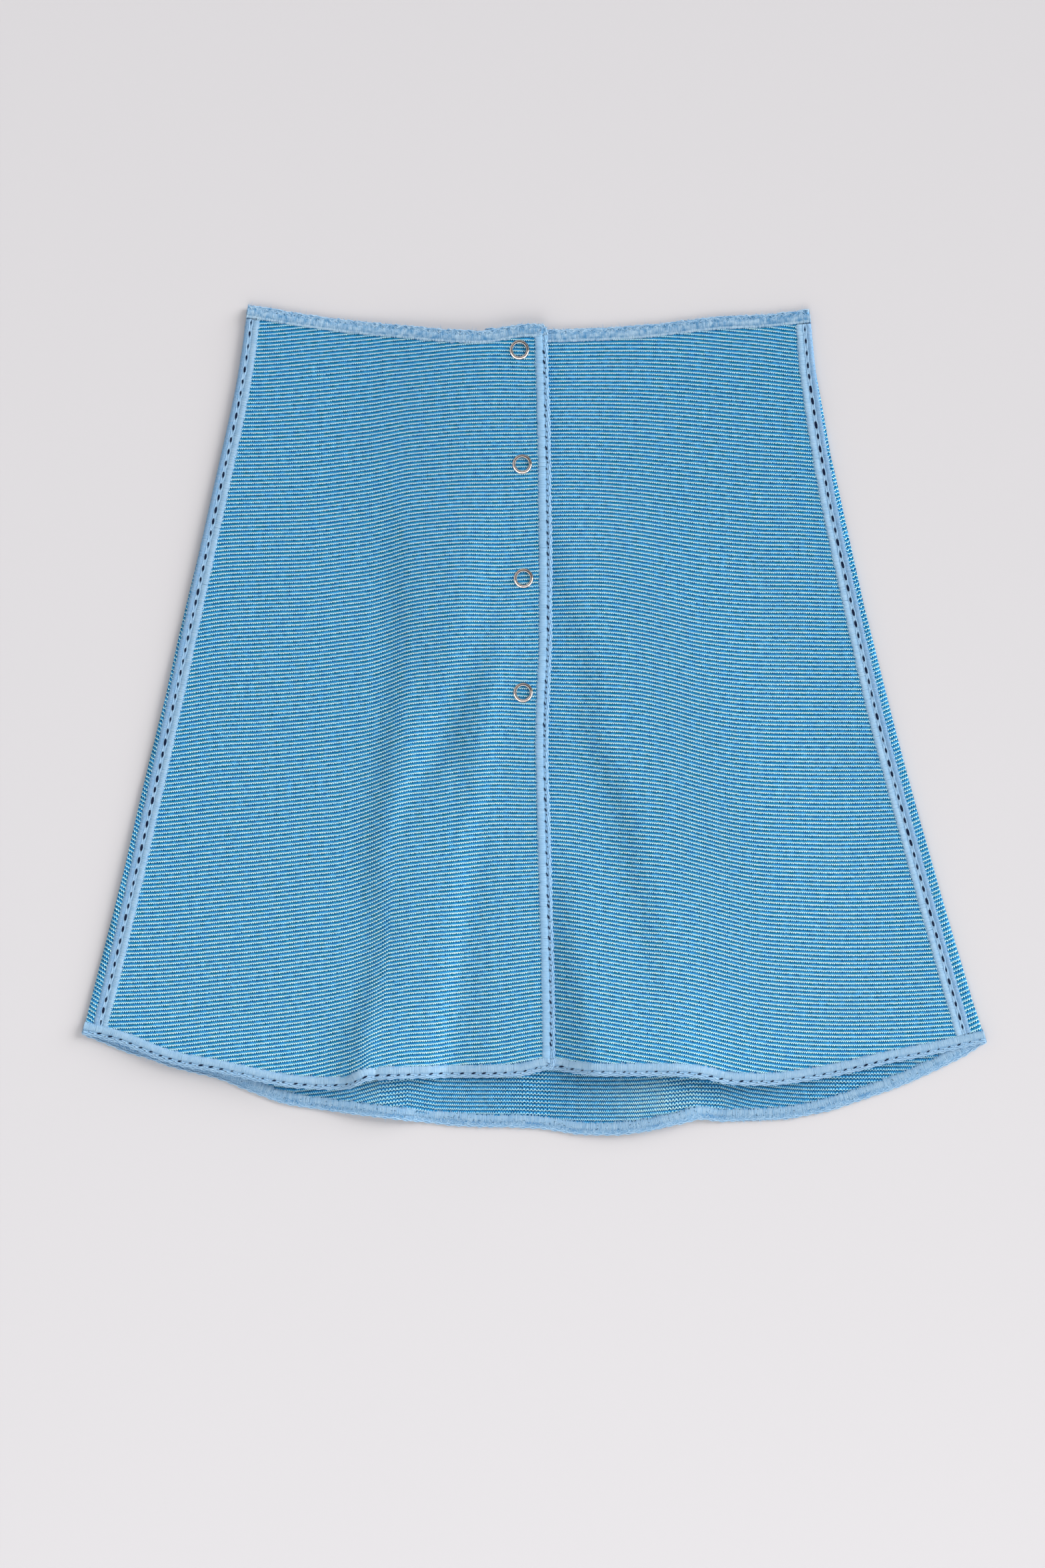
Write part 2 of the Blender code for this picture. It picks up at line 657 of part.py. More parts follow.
def main():
    for item in list(bpy.data.objects):
        bpy.data.objects.remove(item, do_unlink=True)
    cloth = make_material("striped_knit", (0.09, 0.36, 0.6), 0.85, 0.0)
    thread = make_material("overlock_thread", (0.3, 0.49, 0.7), 0.6, 0.0)
    metal = make_material("nickel", (0.62, 0.59, 0.54), 0.25, 1.0)
    make_back(cloth, thread)
    make_front(cloth, thread)
    make_sides(thread)
    make_snaps(metal)


main()
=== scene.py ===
"""Knit skirt lying flat: striped knit panels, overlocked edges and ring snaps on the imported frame.

Sizes in the tables are in millimetres; meshes are made in metres. X runs across the skirt, Y from
the hem to the waist and Z up off the surface it lies on.
"""
import math

import bmesh
import bpy
import numpy as np
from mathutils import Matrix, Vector


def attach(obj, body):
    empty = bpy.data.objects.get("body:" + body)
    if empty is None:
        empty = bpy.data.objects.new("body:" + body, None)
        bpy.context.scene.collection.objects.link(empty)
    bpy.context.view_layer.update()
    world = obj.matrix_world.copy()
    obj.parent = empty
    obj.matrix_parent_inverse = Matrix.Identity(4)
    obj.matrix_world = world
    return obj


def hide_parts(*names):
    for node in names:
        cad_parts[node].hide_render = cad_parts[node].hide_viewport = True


bl_info = {
    "name": "Knit Skirt, Laid Flat",
    "version": (1, 0, 0),
    "blender": (4, 5, 0),
    "location": "View3D > Sidebar > Skirt",
    "description": "Striped knit skirt with overlocked edges and ring snaps",
    "category": "Add Mesh",
}

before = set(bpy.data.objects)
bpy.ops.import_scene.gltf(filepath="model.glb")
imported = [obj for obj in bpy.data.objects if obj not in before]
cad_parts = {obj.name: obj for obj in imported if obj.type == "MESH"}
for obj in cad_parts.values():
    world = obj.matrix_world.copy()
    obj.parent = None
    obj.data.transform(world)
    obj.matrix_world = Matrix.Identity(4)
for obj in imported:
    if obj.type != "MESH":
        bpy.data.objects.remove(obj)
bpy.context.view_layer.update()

MM = 0.001
WALL = 1.2                # the panels' solids
SHEET = WALL - 0.25       # the knit sheet itself, without its raised rows
LAYER_GAP = 0.4           # between panels that lie on each other
FOLD_RADIUS = WALL + LAYER_GAP / 2
TRIM = 7.0                # width of an overlocked edge
SEED = 7
# Where the snaps sit, from the waist down
SNAPS = ((-7.9, 197.7), (-6.4, 136.7), (-5.7, 75.7), (-5.9, 14.7))


# Lines and surface


class Line:
    """Smooth curve through a few points, straight beyond its ends."""

    def __init__(self, *points):
        self.t, self.v = np.array(sorted(points), float).T
        before = np.maximum(np.arange(len(self.t)) - 1, 0)
        after = np.minimum(np.arange(len(self.t)) + 1, len(self.t) - 1)
        self.slope = (self.v[after] - self.v[before]) / (self.t[after] - self.t[before])

    def __call__(self, t):
        t = np.asarray(t, float)
        i = np.clip(np.searchsorted(self.t, t) - 1, 0, len(self.t) - 2)
        span = self.t[i + 1] - self.t[i]
        k = np.clip((t - self.t[i]) / span, 0.0, 1.0)
        rise = (2 * k**3 - 3 * k**2 + 1) * self.v[i] + (3 * k**2 - 2 * k**3) * self.v[i + 1]
        bend = (k**3 - 2 * k**2 + k) * self.slope[i] + (k**3 - k**2) * self.slope[i + 1]
        before = np.minimum(t - self.t[0], 0.0) * self.slope[0]
        after = np.maximum(t - self.t[-1], 0.0) * self.slope[-1]
        return rise + span * bend + (before + after)

    def lean(self, t):
        return (self(t + 1.0) - self(t - 1.0)) / 2.0

    def slant(self, t):
        """How much longer a width gets when it is measured along an axis, not square to the line."""
        return np.sqrt(1.0 + self.lean(t) ** 2)


def lines(at, *rows):
    """Several lines through points at the same places."""
    return [Line(*zip(at, row)) for row in rows]


left_fold, left_seam, right_seam, right_fold = lines(
    (222, 180, 120, 60, 0, -60, -120, -175),
    (-153.3, -159.5, -172.8, -186.8, -200.9, -215.3, -229.8, -244.0),
    (-150.3, -156.2, -168.8, -181.8, -194.8, -208.2, -222.0, -235.2),
    (143.7, 147.6, 157.4, 170.2, 184.0, 200.0, 216.6, 232.2),
    (147.1, 152.2, 163.8, 177.5, 192.2, 208.8, 225.8, 242.8))
placket = Line(
    (212, 7.2), (193, 7.7), (136, 9.1), (47, 9.7), (-7, 7.8), (-78, 9.4), (-150, 11.2), (-190, 11.3))
waist_left = Line((-153, 222.6), (-115, 216.4), (-72, 211.6), (-29, 208.4), (-8, 211.6), (9, 212.0))
waist_right = Line(
    (-25, 209.9), (8, 209.4), (24, 209.8), (57, 211.6), (99, 216.3), (121, 217.3), (147, 220.0))
waist_back = Line(
    (-153, 221.4), (-115, 215.0), (-72, 210.2), (-29, 206.8), (8, 207.8), (57, 210.2), (99, 214.8),
    (147, 218.8))
hem_left = Line(
    (-242.3, -168.0), (-223.4, -172.7), (-194.8, -183.4), (-168.4, -188.6), (-134.7, -195.8),
    (-117.8, -197.4), (-103, -197.3), (-97.5, -196.3), (-89.5, -192.7), (-83.5, -192.0),
    (-58.8, -191.5), (-8, -190.5), (5.5, -187.4), (12, -186.9))
hem_right = Line(
    (-25, -186.0), (0, -186.2), (12, -187.2), (19, -188.6), (37, -189.8), (75, -189.9), (89, -191.2),
    (103, -194.5), (116, -195.2), (133, -194.8), (166, -189.4), (189, -183.9), (211, -179.6),
    (242.3, -172.7))
hem_back = Line(
    (-242.3, -168.3), (-200.5, -183.9), (-168.4, -192.3), (-136.3, -204.8), (-114.8, -208.8),
    (-72, -214.0), (-29, -218.0), (0, -218.6), (28, -222.3), (56.6, -220.9), (78, -216.3),
    (88.8, -213.6), (103, -215.2), (142, -212.7), (185, -200.5), (217, -187.0), (242.3, -173.0))

HEM_END = 242.0           # how far out the hem trims reach on each side
UNDERLAP = 33.0
LAP_START = -42.0         # the left front climbs onto the underlap from here near the hem,
LAP_SPREAD = 66.0         # from so much further out near the waist,
LAP_END = -22.0           # up to here
REST_GAP = 0.5            # between the front panels below the snaps
SNAP_GAP = 1.35           # so much more beside the snaps
LAP_OPEN_END = -60.0      # the snaps hold the panels apart down to here
SNAP_SHELF = 0.5          # how far the hidden back rings lift the underlap
SHELF_EDGE = (22.0, 24.0)  # middle and width of the slope where that ends, past the placket
SHELF_LOW = -20.0         # level where it ends, below the last snap
CURL_LENGTH = 34.0        # how far up from a front hem its curl reaches

# A fold: the level where it starts, lines for its two flanks and its rise, and the flanks' widths
RIDGE = (
    125.0,
    Line(
        (125, -73.5), (100, -73.5), (64, -72), (29, -72.7), (-7, -77), (-43, -82.7), (-78, -86),
        (-114, -83), (-150, -89), (-171, -97), (-195, -99)),
    Line((125, -21), (100, -24), (64, -30), (29, -40), (-7, -54), (-43, -65), (-78, -72), (-195, -82)),
    Line(
        (125, 0), (100, 1.2), (64, 2.1), (29, 2.8), (-7, 3.4), (-43, 3.7), (-78, 3.6), (-114, 3.9),
        (-150, 4.1), (-195, 4.4)),
    (13.0, 20.0))
BRANCH = (
    75.0,
    Line(
        (75, -16), (64, -18), (29, -24), (-7, -41), (-24, -51), (-43, -66), (-78, -80), (-114, -80),
        (-150, -84), (-195, -92)),
    Line(
        (75, -8), (64, -10), (29, -16), (-7, -22.7), (-24, -25.5), (-43, -28.4), (-78, -36.3),
        (-114, -40.5), (-150, -46.5), (-195, -53)),
    Line((75, 0), (64, 0.5), (29, 1.4), (-7, 2.2), (-24, 2.6), (-43, 3.1), (-78, 3.4), (-195, 3.5)),
    (20.0, 12.5))
SWELL = (
    120.0,
    Line(
        (120, 8), (100, 11), (65, 18), (29, 29), (-7, 31.5), (-43, 46), (-78, 53.5), (-114, 62),
        (-150, 66), (-195, 70)),
    Line(
        (110, 70), (65, 95), (29, 112), (-7, 126), (-43, 140), (-78, 150), (-114, 160), (-150, 168),
        (-195, 172)),
    Line(
        (120, 0), (100, 0.8), (65, 1.8), (29, 2.2), (-7, 2.6), (-43, 3.2), (-78, 2.9), (-114, 2.0),
        (-150, 0.9), (-195, 0.6)),
    (15.0, 70.0))

# The rise beside the placket, towards the hem
TUCK_START = -65.0
TUCK_END = 95.0
TUCK_END_WIDTH = 130.0
tuck_left = Line((-65, 15), (-90, 15.5), (-114, 16.3), (-150, 19.5), (-195, 23))
tuck_width = Line((-65, 7), (-90, 8), (-114, 9.5), (-150, 16), (-195, 23))
tuck_rise = Line((-65, 0), (-90, 1.9), (-114, 3.6), (-150, 6.0), (-195, 8.2))

# Waves of the back hem: rise, left flank and its width, right flank and its width
HEM_WAVES = ((2.8, -101.0, 42.0, -66.0, 26.0), (2.6, 40.0, 66.0, 90.0, 30.0))
HEM_WAVE_START = -135.0
HEM_WAVE_LENGTH = 75.0

# How far a front hem stands up, across the skirt
curl_left = Line(
    (-232, 0), (-212, 1.4), (-160, 2.8), (-105, 2.6), (-85, 1.2), (-40, 0.8), (-15, 0.7), (12, 0.7))
curl_right = Line((-30, 0.7), (35, 0.5), (75, 1.0), (115, 2.2), (170, 2.0), (205, 0.9), (226, 0))


def soft(t):
    t = np.clip(t, 0.0, 1.0)
    return t * t * (3.0 - 2.0 * t)


def flank(x, middle, width):
    """Soft step in x, half way up at the middle."""
    return soft((x - middle) / width + 0.5)


def underlap_edge(y):
    return placket(y) - UNDERLAP


def back_lift(x, y):
    """How far the back panel stands off the surface along its hem."""
    waves = sum(rise * flank(x, left, left_width) * (1.0 - flank(x, right, right_width))
                for rise, left, left_width, right, right_width in HEM_WAVES)
    return waves * soft((HEM_WAVE_START - y) / HEM_WAVE_LENGTH)


def front_floor(x, y):
    return WALL + LAYER_GAP + back_lift(x, y)


def hem_curl(x, y, hem, rise):
    """How far a front hem stands up off the back panel, which leaves a dark gap under it."""
    return np.maximum(rise(x), 0.0) * soft((hem(x) + CURL_LENGTH - y) / CURL_LENGTH)


def fold(x, y, start, left, right, rise, widths):
    """Height of a fold between its two flanks, from the level where it starts."""
    height = np.where(y < start, np.maximum(rise(y), 0.0), 0.0)
    return height * flank(x, left(y), widths[0]) * (1.0 - flank(x, right(y), widths[1]))


def right_under(x, y):
    """Underside of the right front panel."""
    shelf = SNAP_SHELF * (1.0 - flank(x, *SHELF_EDGE)) * soft((y - SHELF_LOW) / 22.0)
    tuck = fold(x, y, TUCK_START, tuck_left, lambda y: TUCK_END, tuck_rise, (tuck_width(y), TUCK_END_WIDTH))
    return front_floor(x, y) + shelf + fold(x, y, *SWELL) + tuck + hem_curl(x, y, hem_right, curl_right)


def left_under(x, y):
    """Underside of the left front panel, which climbs onto the underlap."""
    own = front_floor(x, y) + hem_curl(x, y, hem_left, curl_left)
    gap = REST_GAP + SNAP_GAP * soft((y - LAP_OPEN_END) / 52.0)
    lap = right_under(np.maximum(x, underlap_edge(y)), y) + WALL + gap
    start = LAP_START - LAP_SPREAD * flank(y, 40.0, 170.0)
    climb = soft((x - start) / (LAP_END - start))
    return own + (lap - own) * climb + np.maximum(fold(x, y, *RIDGE), fold(x, y, *BRANCH))


def wrap(distance, y, side, height):
    """Point at a height in the back cloth, a distance outward from the seam and round the side fold."""
    seam, fold = (left_seam, left_fold) if side < 0 else (right_seam, right_fold)
    seam, fold = seam(y), fold(y)
    middle = FOLD_RADIUS - WALL / 2
    bend = np.abs(seam - fold) - FOLD_RADIUS
    angle = np.clip((distance - bend) / middle, 0.0, math.pi)
    past = np.maximum(distance - bend - math.pi * middle, 0.0)
    along = np.minimum(distance, bend) - past
    off = height - WALL / 2
    x = seam + side * (along + (middle + off) * np.sin(angle))
    z = FOLD_RADIUS + (middle + off) * np.cos(angle)
    underneath = angle > 3.0
    return x, z + back_lift(x, y) * underneath


# Rows of the knit


class Rows:
    """How far the rows of a front panel run above or below their level at the placket."""

    def __init__(self, across, *runs):
        self.runs = lines(across, *runs)

    def __call__(self, x, q):
        place = np.interp(q, ROW_LEVELS, np.arange(len(ROW_LEVELS)))
        return sum(run(x) * np.clip(1.0 - np.abs(place - k), 0.0, 1.0)
                   for k, run in enumerate(self.runs))


crease = Line((-200, -91), (-177, -89), (-163, -85.5), (-143, -81.5), (-115, -77.5), (-60, -76))


def left_lift(x, q):
    """The left panel's rows, which climb to the sharp crease beside the ridge and level out past it."""
    climb = np.clip((x - crease(q)) / 22.0 + 1.0, 0.0, 1.0) ** 2 - flank(x, crease(q) - 8.0, 36.0)
    return left_rows(x, q) + 5.0 * soft((-30.0 - q) / 70.0) * climb


ROW_LEVELS = (-180, -100, -40, 10, 70, 130, 200)
left_rows = Rows(
    (-240, -200, -170, -145, -120, -102, -88, -78, -68, -54, -38, -20, 0, 14),
    (-35.6, -33.5, -29.6, -26.8, -23.5, -18.2, -12.8, -9.6, -8.0, -7.4, -5.1, -3.6, 0.0, 1.8),
    (-31.5, -29.7, -27.1, -24.5, -21.2, -18.7, -13.8, -10.1, -7.2, -5.3, -4.2, -1.8, 0.0, 1.3),
    (-28.6, -26.3, -23.2, -20.8, -17.9, -15.9, -11.6, -7.8, -5.2, -3.5, -0.8, 0.5, 0.0, 0.8),
    (-26.1, -23.4, -19.5, -18.0, -15.8, -13.6, -11.5, -8.2, -4.3, -2.7, -0.9, 0.8, 0.0, 0.8),
    (-25.9, -22.2, -16.7, -15.0, -13.8, -11.6, -9.7, -7.1, -4.0, -1.7, -0.4, -1.1, 0.0, 1.1),
    (-23.2, -18.8, -14.0, -12.8, -11.9, -9.8, -7.8, -5.8, -3.5, -2.2, -1.2, -0.8, 0.0, 1.5),
    (-19.5, -14.8, -10.7, -10.3, -8.1, -6.4, -5.1, -3.9, -3.1, -1.7, -0.2, 0.6, 0.0, 0.9))
right_rows = Rows(
    (-24, 0, 20, 38, 55, 72, 88, 104, 120, 140, 165, 200, 240),
    (2.1, 0.0, -3.0, -5.5, -8.5, -11.4, -14.9, -18.8, -22.1, -25.0, -26.0, -25.4, -22.9),
    (1.7, 0.0, -1.8, -5.0, -7.8, -9.4, -12.1, -16.2, -19.8, -21.5, -22.6, -21.9, -19.5),
    (1.3, 0.0, -1.0, -3.7, -4.8, -6.7, -11.0, -15.1, -17.4, -18.4, -18.9, -17.4, -14.8),
    (0.9, 0.0, -0.9, -1.4, -2.5, -6.0, -10.4, -13.5, -14.9, -15.4, -15.5, -15.8, -14.0),
    (0.4, 0.0, 0.7, 0.7, -2.0, -5.6, -8.9, -10.6, -11.5, -11.7, -12.3, -11.4, -10.3),
    (0.1, 0.0, 0.3, -0.3, -1.5, -3.3, -5.0, -6.6, -8.1, -8.9, -10.7, -10.7, -10.1),
    (0.1, 0.0, 0.3, 0.7, 0.8, 0.4, -0.6, -2.1, -3.6, -6.2, -9.1, -9.7, -9.3))
back_rows = Line(
    (-236, 1.0), (-195, 1.0), (-160, -4.0), (-130, -7.5), (-115, -6.0), (-96.6, -2.9), (-84, 0.8),
    (-80, 2.5), (-78, 3.0), (-75, 3.1), (-62.7, 2.8), (-54, 0.5), (-8, 0.0), (24.5, -1.2), (56.6, -0.8),
    (85, 1.8), (92.3, 2.2), (97.7, 1.6), (106.6, -1.4), (113.7, -3.0), (130, -5.2), (150, -6.5),
    (236, -6.0))

# Stitches to a stitch width across the back panel, whose hem is stretched in places
back_density = Line(
    (-240, 1), (-84, 1.05), (-77, 0.6), (-65, 0.58), (-57, 1), (-20, 1), (-10, 0.62), (5, 0.62),
    (14, 0.95), (66, 1), (77, 0.6), (94, 0.62), (101, 1.05), (148, 1), (160, 0.68), (180, 0.68),
    (190, 1), (240, 1))


def course_lift_back(x, q):
    """How far the back panel's rows run off their level: they wander near its hem and climb to its folds."""
    folds = 6.0 * flank(x, right_fold(q) - 4.0, 20.0) + 7.0 * (1.0 - flank(x, left_fold(q) + 3.0, 15.0))
    return back_rows(x) * soft((-100.0 - q) / 80.0) + folds


# Mesh helpers


def mesh_piece(name, points, faces, material):
    """A smooth mesh object from points in millimetres."""
    mesh = bpy.data.meshes.new(name)
    mesh.from_pydata((points * MM).tolist(), [], faces)
    mesh.materials.append(material)
    mesh.shade_smooth()
    piece = bpy.data.objects.new(name, mesh)
    bpy.context.collection.objects.link(piece)
    return piece


def store(mesh, name, vectors):
    """Keeps a vector for each point of a mesh, for its material to read."""
    values = np.asarray(vectors, np.float32).ravel()
    mesh.attributes.new(name, "FLOAT_VECTOR", "POINT").data.foreach_set("vector", values)


def alone(piece):
    """Leaves one object selected and active."""
    bpy.ops.object.select_all(action="DESELECT")
    piece.select_set(True)
    bpy.context.view_layer.objects.active = piece


def grid_faces(rows, columns, flip=False):
    a = (np.arange(rows - 1)[:, None] * columns + np.arange(columns - 1)[None, :]).ravel()
    quads = np.stack((a, a + columns, a + columns + 1, a + 1), axis=1)
    return quads[:, ::-1] if flip else quads


def strip_faces(count, stations, wide):
    """Quads of many strips, each of so many stations with so many points across."""
    one = grid_faces(stations, wide, flip=True)
    return (one[None] + (np.arange(count) * stations * wide)[:, None, None]).reshape(-1, 4)


def tube_faces(stations, around):
    """Quads of an open-ended tube."""
    j, k = np.meshgrid(np.arange(stations - 1), np.arange(around), indexing="ij")
    a, b = j * around + k, j * around + (k + 1) % around
    return np.stack((a, b, b + around, a + around), axis=-1).reshape(-1, 4)


def settle(piece, node):
    """Rides on the frame and stands for its CAD node, which it hides."""
    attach(piece, "root")
    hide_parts(node)


# Shaders


class Value:
    """A number in a shader; Python's operators add Math nodes."""

    def __init__(self, tree, socket):
        self.tree = tree
        self.socket = socket

    def math(self, operation, *values, clamp=False):
        node = self.tree.nodes.new("ShaderNodeMath")
        node.operation = operation
        node.use_clamp = clamp
        for slot, value in zip(node.inputs, values):
            if isinstance(value, Value):
                self.tree.links.new(value.socket, slot)
            else:
                slot.default_value = value
        return Value(self.tree, node.outputs[0])

    def __add__(self, other):
        return self.math("ADD", self, other)

    __radd__ = __add__

    def __sub__(self, other):
        return self.math("SUBTRACT", self, other)

    def __rsub__(self, other):
        return self.math("SUBTRACT", other, self)

    def __mul__(self, other):
        return self.math("MULTIPLY", self, other)

    __rmul__ = __mul__

    def __truediv__(self, other):
        return self.math("DIVIDE", self, other)

    def __abs__(self):
        return self.math("ABSOLUTE", self)

    def fraction(self):
        return self.math("FRACT", self)

    def clamped(self):
        return self.math("ADD", self, 0.0, clamp=True)


class Nodes:
    """A node tree, with one method that adds any node."""

    def __init__(self, tree):
        self.tree = tree

    def node(self, kind, settings=None, **values):
        """Adds a node: settings first, then its sockets by name, with _ for a space."""
        node = self.tree.nodes.new(kind)
        for key, value in (settings or {}).items():
            setattr(node, key, value)
        for key, value in values.items():
            self.put(node.inputs[key.replace("_", " ")], value)
        return node

    def put(self, slot, value):
        if isinstance(value, Value):
            self.tree.links.new(value.socket, slot)
        elif isinstance(value, bpy.types.NodeSocket):
            self.tree.links.new(value, slot)
        elif slot.type == "RGBA":
            slot.default_value = (*value, 1.0)
        else:
            slot.default_value = value

    def value(self, socket):
        return Value(self.tree, socket)

    def parts(self, vector):
        """The x, y and z of a vector."""
        split = self.node("ShaderNodeSeparateXYZ", Vector=vector)
        return [self.value(socket) for socket in split.outputs]

    def attribute(self, name):
        return self.node("ShaderNodeAttribute", {"attribute_name": name}).outputs["Vector"]

    def scaled(self, vector, factors):
        """A vector with each part multiplied."""
        node = self.node("ShaderNodeVectorMath", {"operation": "MULTIPLY"})
        self.put(node.inputs[0], vector)
        node.inputs[1].default_value = factors
        return node.outputs[0]

    def noise(self, scale, detail=2.0, vector=None):
        """Even noise from 0 to 1, on Object coordinates if no vector is given."""
        if vector is None:
            vector = self.node("ShaderNodeTexCoord").outputs["Object"]
        node = self.node("ShaderNodeTexNoise", Scale=scale, Detail=detail, Vector=vector)
        return self.value(node.outputs["Fac"])

    def blend(self, factor, first, second):
        node = self.node("ShaderNodeMix", {"data_type": "RGBA"})
        self.put(node.inputs["Factor"], factor)
        self.put(node.inputs[6], first)
        self.put(node.inputs[7], second)
        return node.outputs[2]


class Shader(Nodes):
    """A material with its Principled surface."""

    def __init__(self, name, **constants):
        self.material = bpy.data.materials.new(name)
        self.material.use_nodes = True
        super().__init__(self.material.node_tree)
        self.surface = self.tree.nodes["Principled BSDF"]
        for key, value in constants.items():
            self.surface.inputs[key.replace("_", " ")].default_value = value

    def colour(self, value):
        self.put(self.surface.inputs["Base Color"], value)

    def bump(self, height, distance, strength=1.0):
        node = self.node("ShaderNodeBump", Height=height, Distance=distance, Strength=strength)
        self.tree.links.new(node.outputs["Normal"], self.surface.inputs["Normal"])


def knit_material(name, knit, inside=False):
    """Two courses to a stripe: a pale zigzag that stands up, and a blue one with painted highlights on its
    loops; painted shade fills the notches under the pale one and the gaps between stitches.

    The inside of the cloth shows the stitches upside down, deeper and with more blue between them.
    """
    shader = Shader(name, Roughness=0.85, Specular_IOR_Level=0.06)
    stitch = shader.attribute("stitch")
    wale, course, _ = shader.parts(stitch)
    loose = shader.noise(0.9, 2.0, stitch) - 0.5
    tone = shader.noise(1.0, 2.0, shader.scaled(stitch, (0.35, 1.1, 1.0)))
    hue = shader.noise(1.0, 1.0, shader.scaled(stitch, (0.2, 0.7, 1.0)))
    fibre = shader.noise(2400.0, 2.0)
    # across a stitch: from its spine to its edge, and from the top to the foot of the V
    outward = abs(((wale + loose * 0.7).fraction() - 0.5) * 2.0)
    foot = outward if inside else 1.0 - outward
    # up a stripe: how far from the middle of the pale zigzag
    level = (course + loose * 0.12 + 0.25).fraction() - 0.5
    level = level - (0.5 - foot) * knit.stitch_depth * (1.5 if inside else 1.0)
    half = (1.03 - course * 0.0013) * knit.pale_half
    pale_height = 1.0 - abs(level) / (1.05 if inside else foot * 0.5 + 0.7) / half
    # painted shade: dark places under, over and between the stitches, where shade falls
    notch_shade = (1.0 - abs(level + knit.notch_level) / knit.notch_half) * (1.2 - foot * (0.3 if inside else 0.75))
    hollow_shade = (1.0 - abs(level - 0.24) / 0.14) * (foot * 1.2 - 0.35)
    # painted highlight: the blue course is lighter along the middle of its loops
    rise = (1.0 - abs(level - 0.42) / 0.2).clamped() * (0.75 - abs(foot - 0.5))
    between = (outward - (0.66 if inside else 0.6)) * (2.8 if inside else 1.25)
    blue = shader.blend(((hue - 0.35) * 3.0).clamped(), tuple(knit.deep_blue), tuple(knit.blue))
    # random tone and fibre lighten the blue, together with the painted highlight on its loops
    light = ((tone - 0.5) * 2.0 + rise * 0.9 + fibre * 0.3 + (0.42 if inside else 0.02)).clamped()
    blue = shader.blend(light, blue, tuple(knit.light_blue))
    # painted shade in the gaps, made darker still by random tone, takes the blue towards the gap colour
    dark = notch_shade.math("MAXIMUM", notch_shade, hollow_shade)
    dark = (dark.math("MAXIMUM", dark, between) * knit.contrast + (0.5 - tone) * 0.8).clamped()
    blue = shader.blend(dark, blue, tuple(knit.shade))
    pale = shader.blend(((hue - 0.4) * 2.5 + fibre * 0.2).clamped(), tuple(knit.pale), tuple(knit.cool_pale))
    cover = (pale_height * 2.6 + 0.1).clamped()
    cover = cover * (0.8 + foot * 0.3 - between.clamped() * (1.1 if inside else 0.7)).clamped()
    shader.colour(shader.blend(cover, blue, pale))
    shader.bump(pale_height.clamped() - dark * 0.6 + fibre * 0.3, 0.0003, 0.42)
    return shader.material


def knit_materials(name, knit):
    """The knit's outer and inner face."""
    return knit_material(name, knit), knit_material(name + "_inside", knit, True)


def thread_material(name, thread, colour, mid, mottle=0.8):
    """Soft overlock thread, from each point's strand values.

    The first runs from the mid to the full colour, the second is painted shade towards the dark between
    threads, the third runs to the knit's blue.
    """
    shader = Shader(name, Roughness=0.6, Specular_IOR_Level=0.15, Sheen_Weight=0.05)
    tone, depth, show = shader.parts(shader.attribute("strand"))
    fine = shader.noise(2600.0, 3.0)
    patch = shader.noise(420.0, 3.0)
    mixed = (tone + (fine - 0.5) * 0.8 + (patch - 0.5) * mottle).clamped()
    # painted shade: depth takes the yarn towards the dark between threads
    yarn = shader.blend(depth, shader.blend(mixed, tuple(mid), tuple(colour)), tuple(thread.shade))
    shader.colour(shader.blend(show, yarn, tuple(thread.show)))
    shader.bump(fine, 0.0002, 0.4)
    return shader.material


def metal_material(name, snaps, painted=False):
    """Nickel; with painted light, its groove and rims get painted shade and its lip a painted highlight."""
    shader = Shader(name, Metallic=1.0)
    tone = shader.noise(350.0, 3.0)
    metal = shader.blend(tone, tuple(c * 0.88 for c in snaps.colour), tuple(snaps.colour))
    if painted:
        painted_light, _, _ = shader.parts(shader.attribute("painted_light"))
        metal = shader.blend((painted_light * 2.0).clamped(), tuple(snaps.tarnish), metal)
        metal = shader.blend((painted_light * 2.0 - 1.0).clamped(), metal, tuple(snaps.bright))
    shader.colour(metal)
    shader.put(shader.surface.inputs["Roughness"], 0.1 + tone * 0.14)
    shader.bump(tone, 0.00004, 0.3)
    return shader.material


def floor_material(name, stage):
    shader = Shader(name, Roughness=0.9, Specular_IOR_Level=0.1)
    tone = shader.noise(3.0, 2.0)
    shader.colour(shader.blend(tone, tuple(c * 0.985 for c in stage.floor), tuple(stage.floor)))
    return shader.material


# Knit panels

SETTLING = 14             # rounds until the mesh's places agree with the rows that run through them
FRONT_REACH = (-200.0, 224.0)
BACK_REACH = (-228.0, 232.0)


def course_count(q, knit):
    """Stripes below a level: they stretch a little towards the hem."""
    pitch = knit.stripe / MM
    return q / pitch + knit.stretch * q * q / (2.0 * pitch * pitch)


def row_levels(low, high, knit):
    """Levels of the mesh rows, with one on each crest and each valley."""
    fine = np.linspace(low, high, 4000)
    counts = course_count(fine, knit)
    many = knit.rows_per_stripe
    steps = np.arange(math.ceil(counts[0] * many), math.floor(counts[-1] * many) + 1) / many
    return np.interp(steps, counts, fine)[:, None]


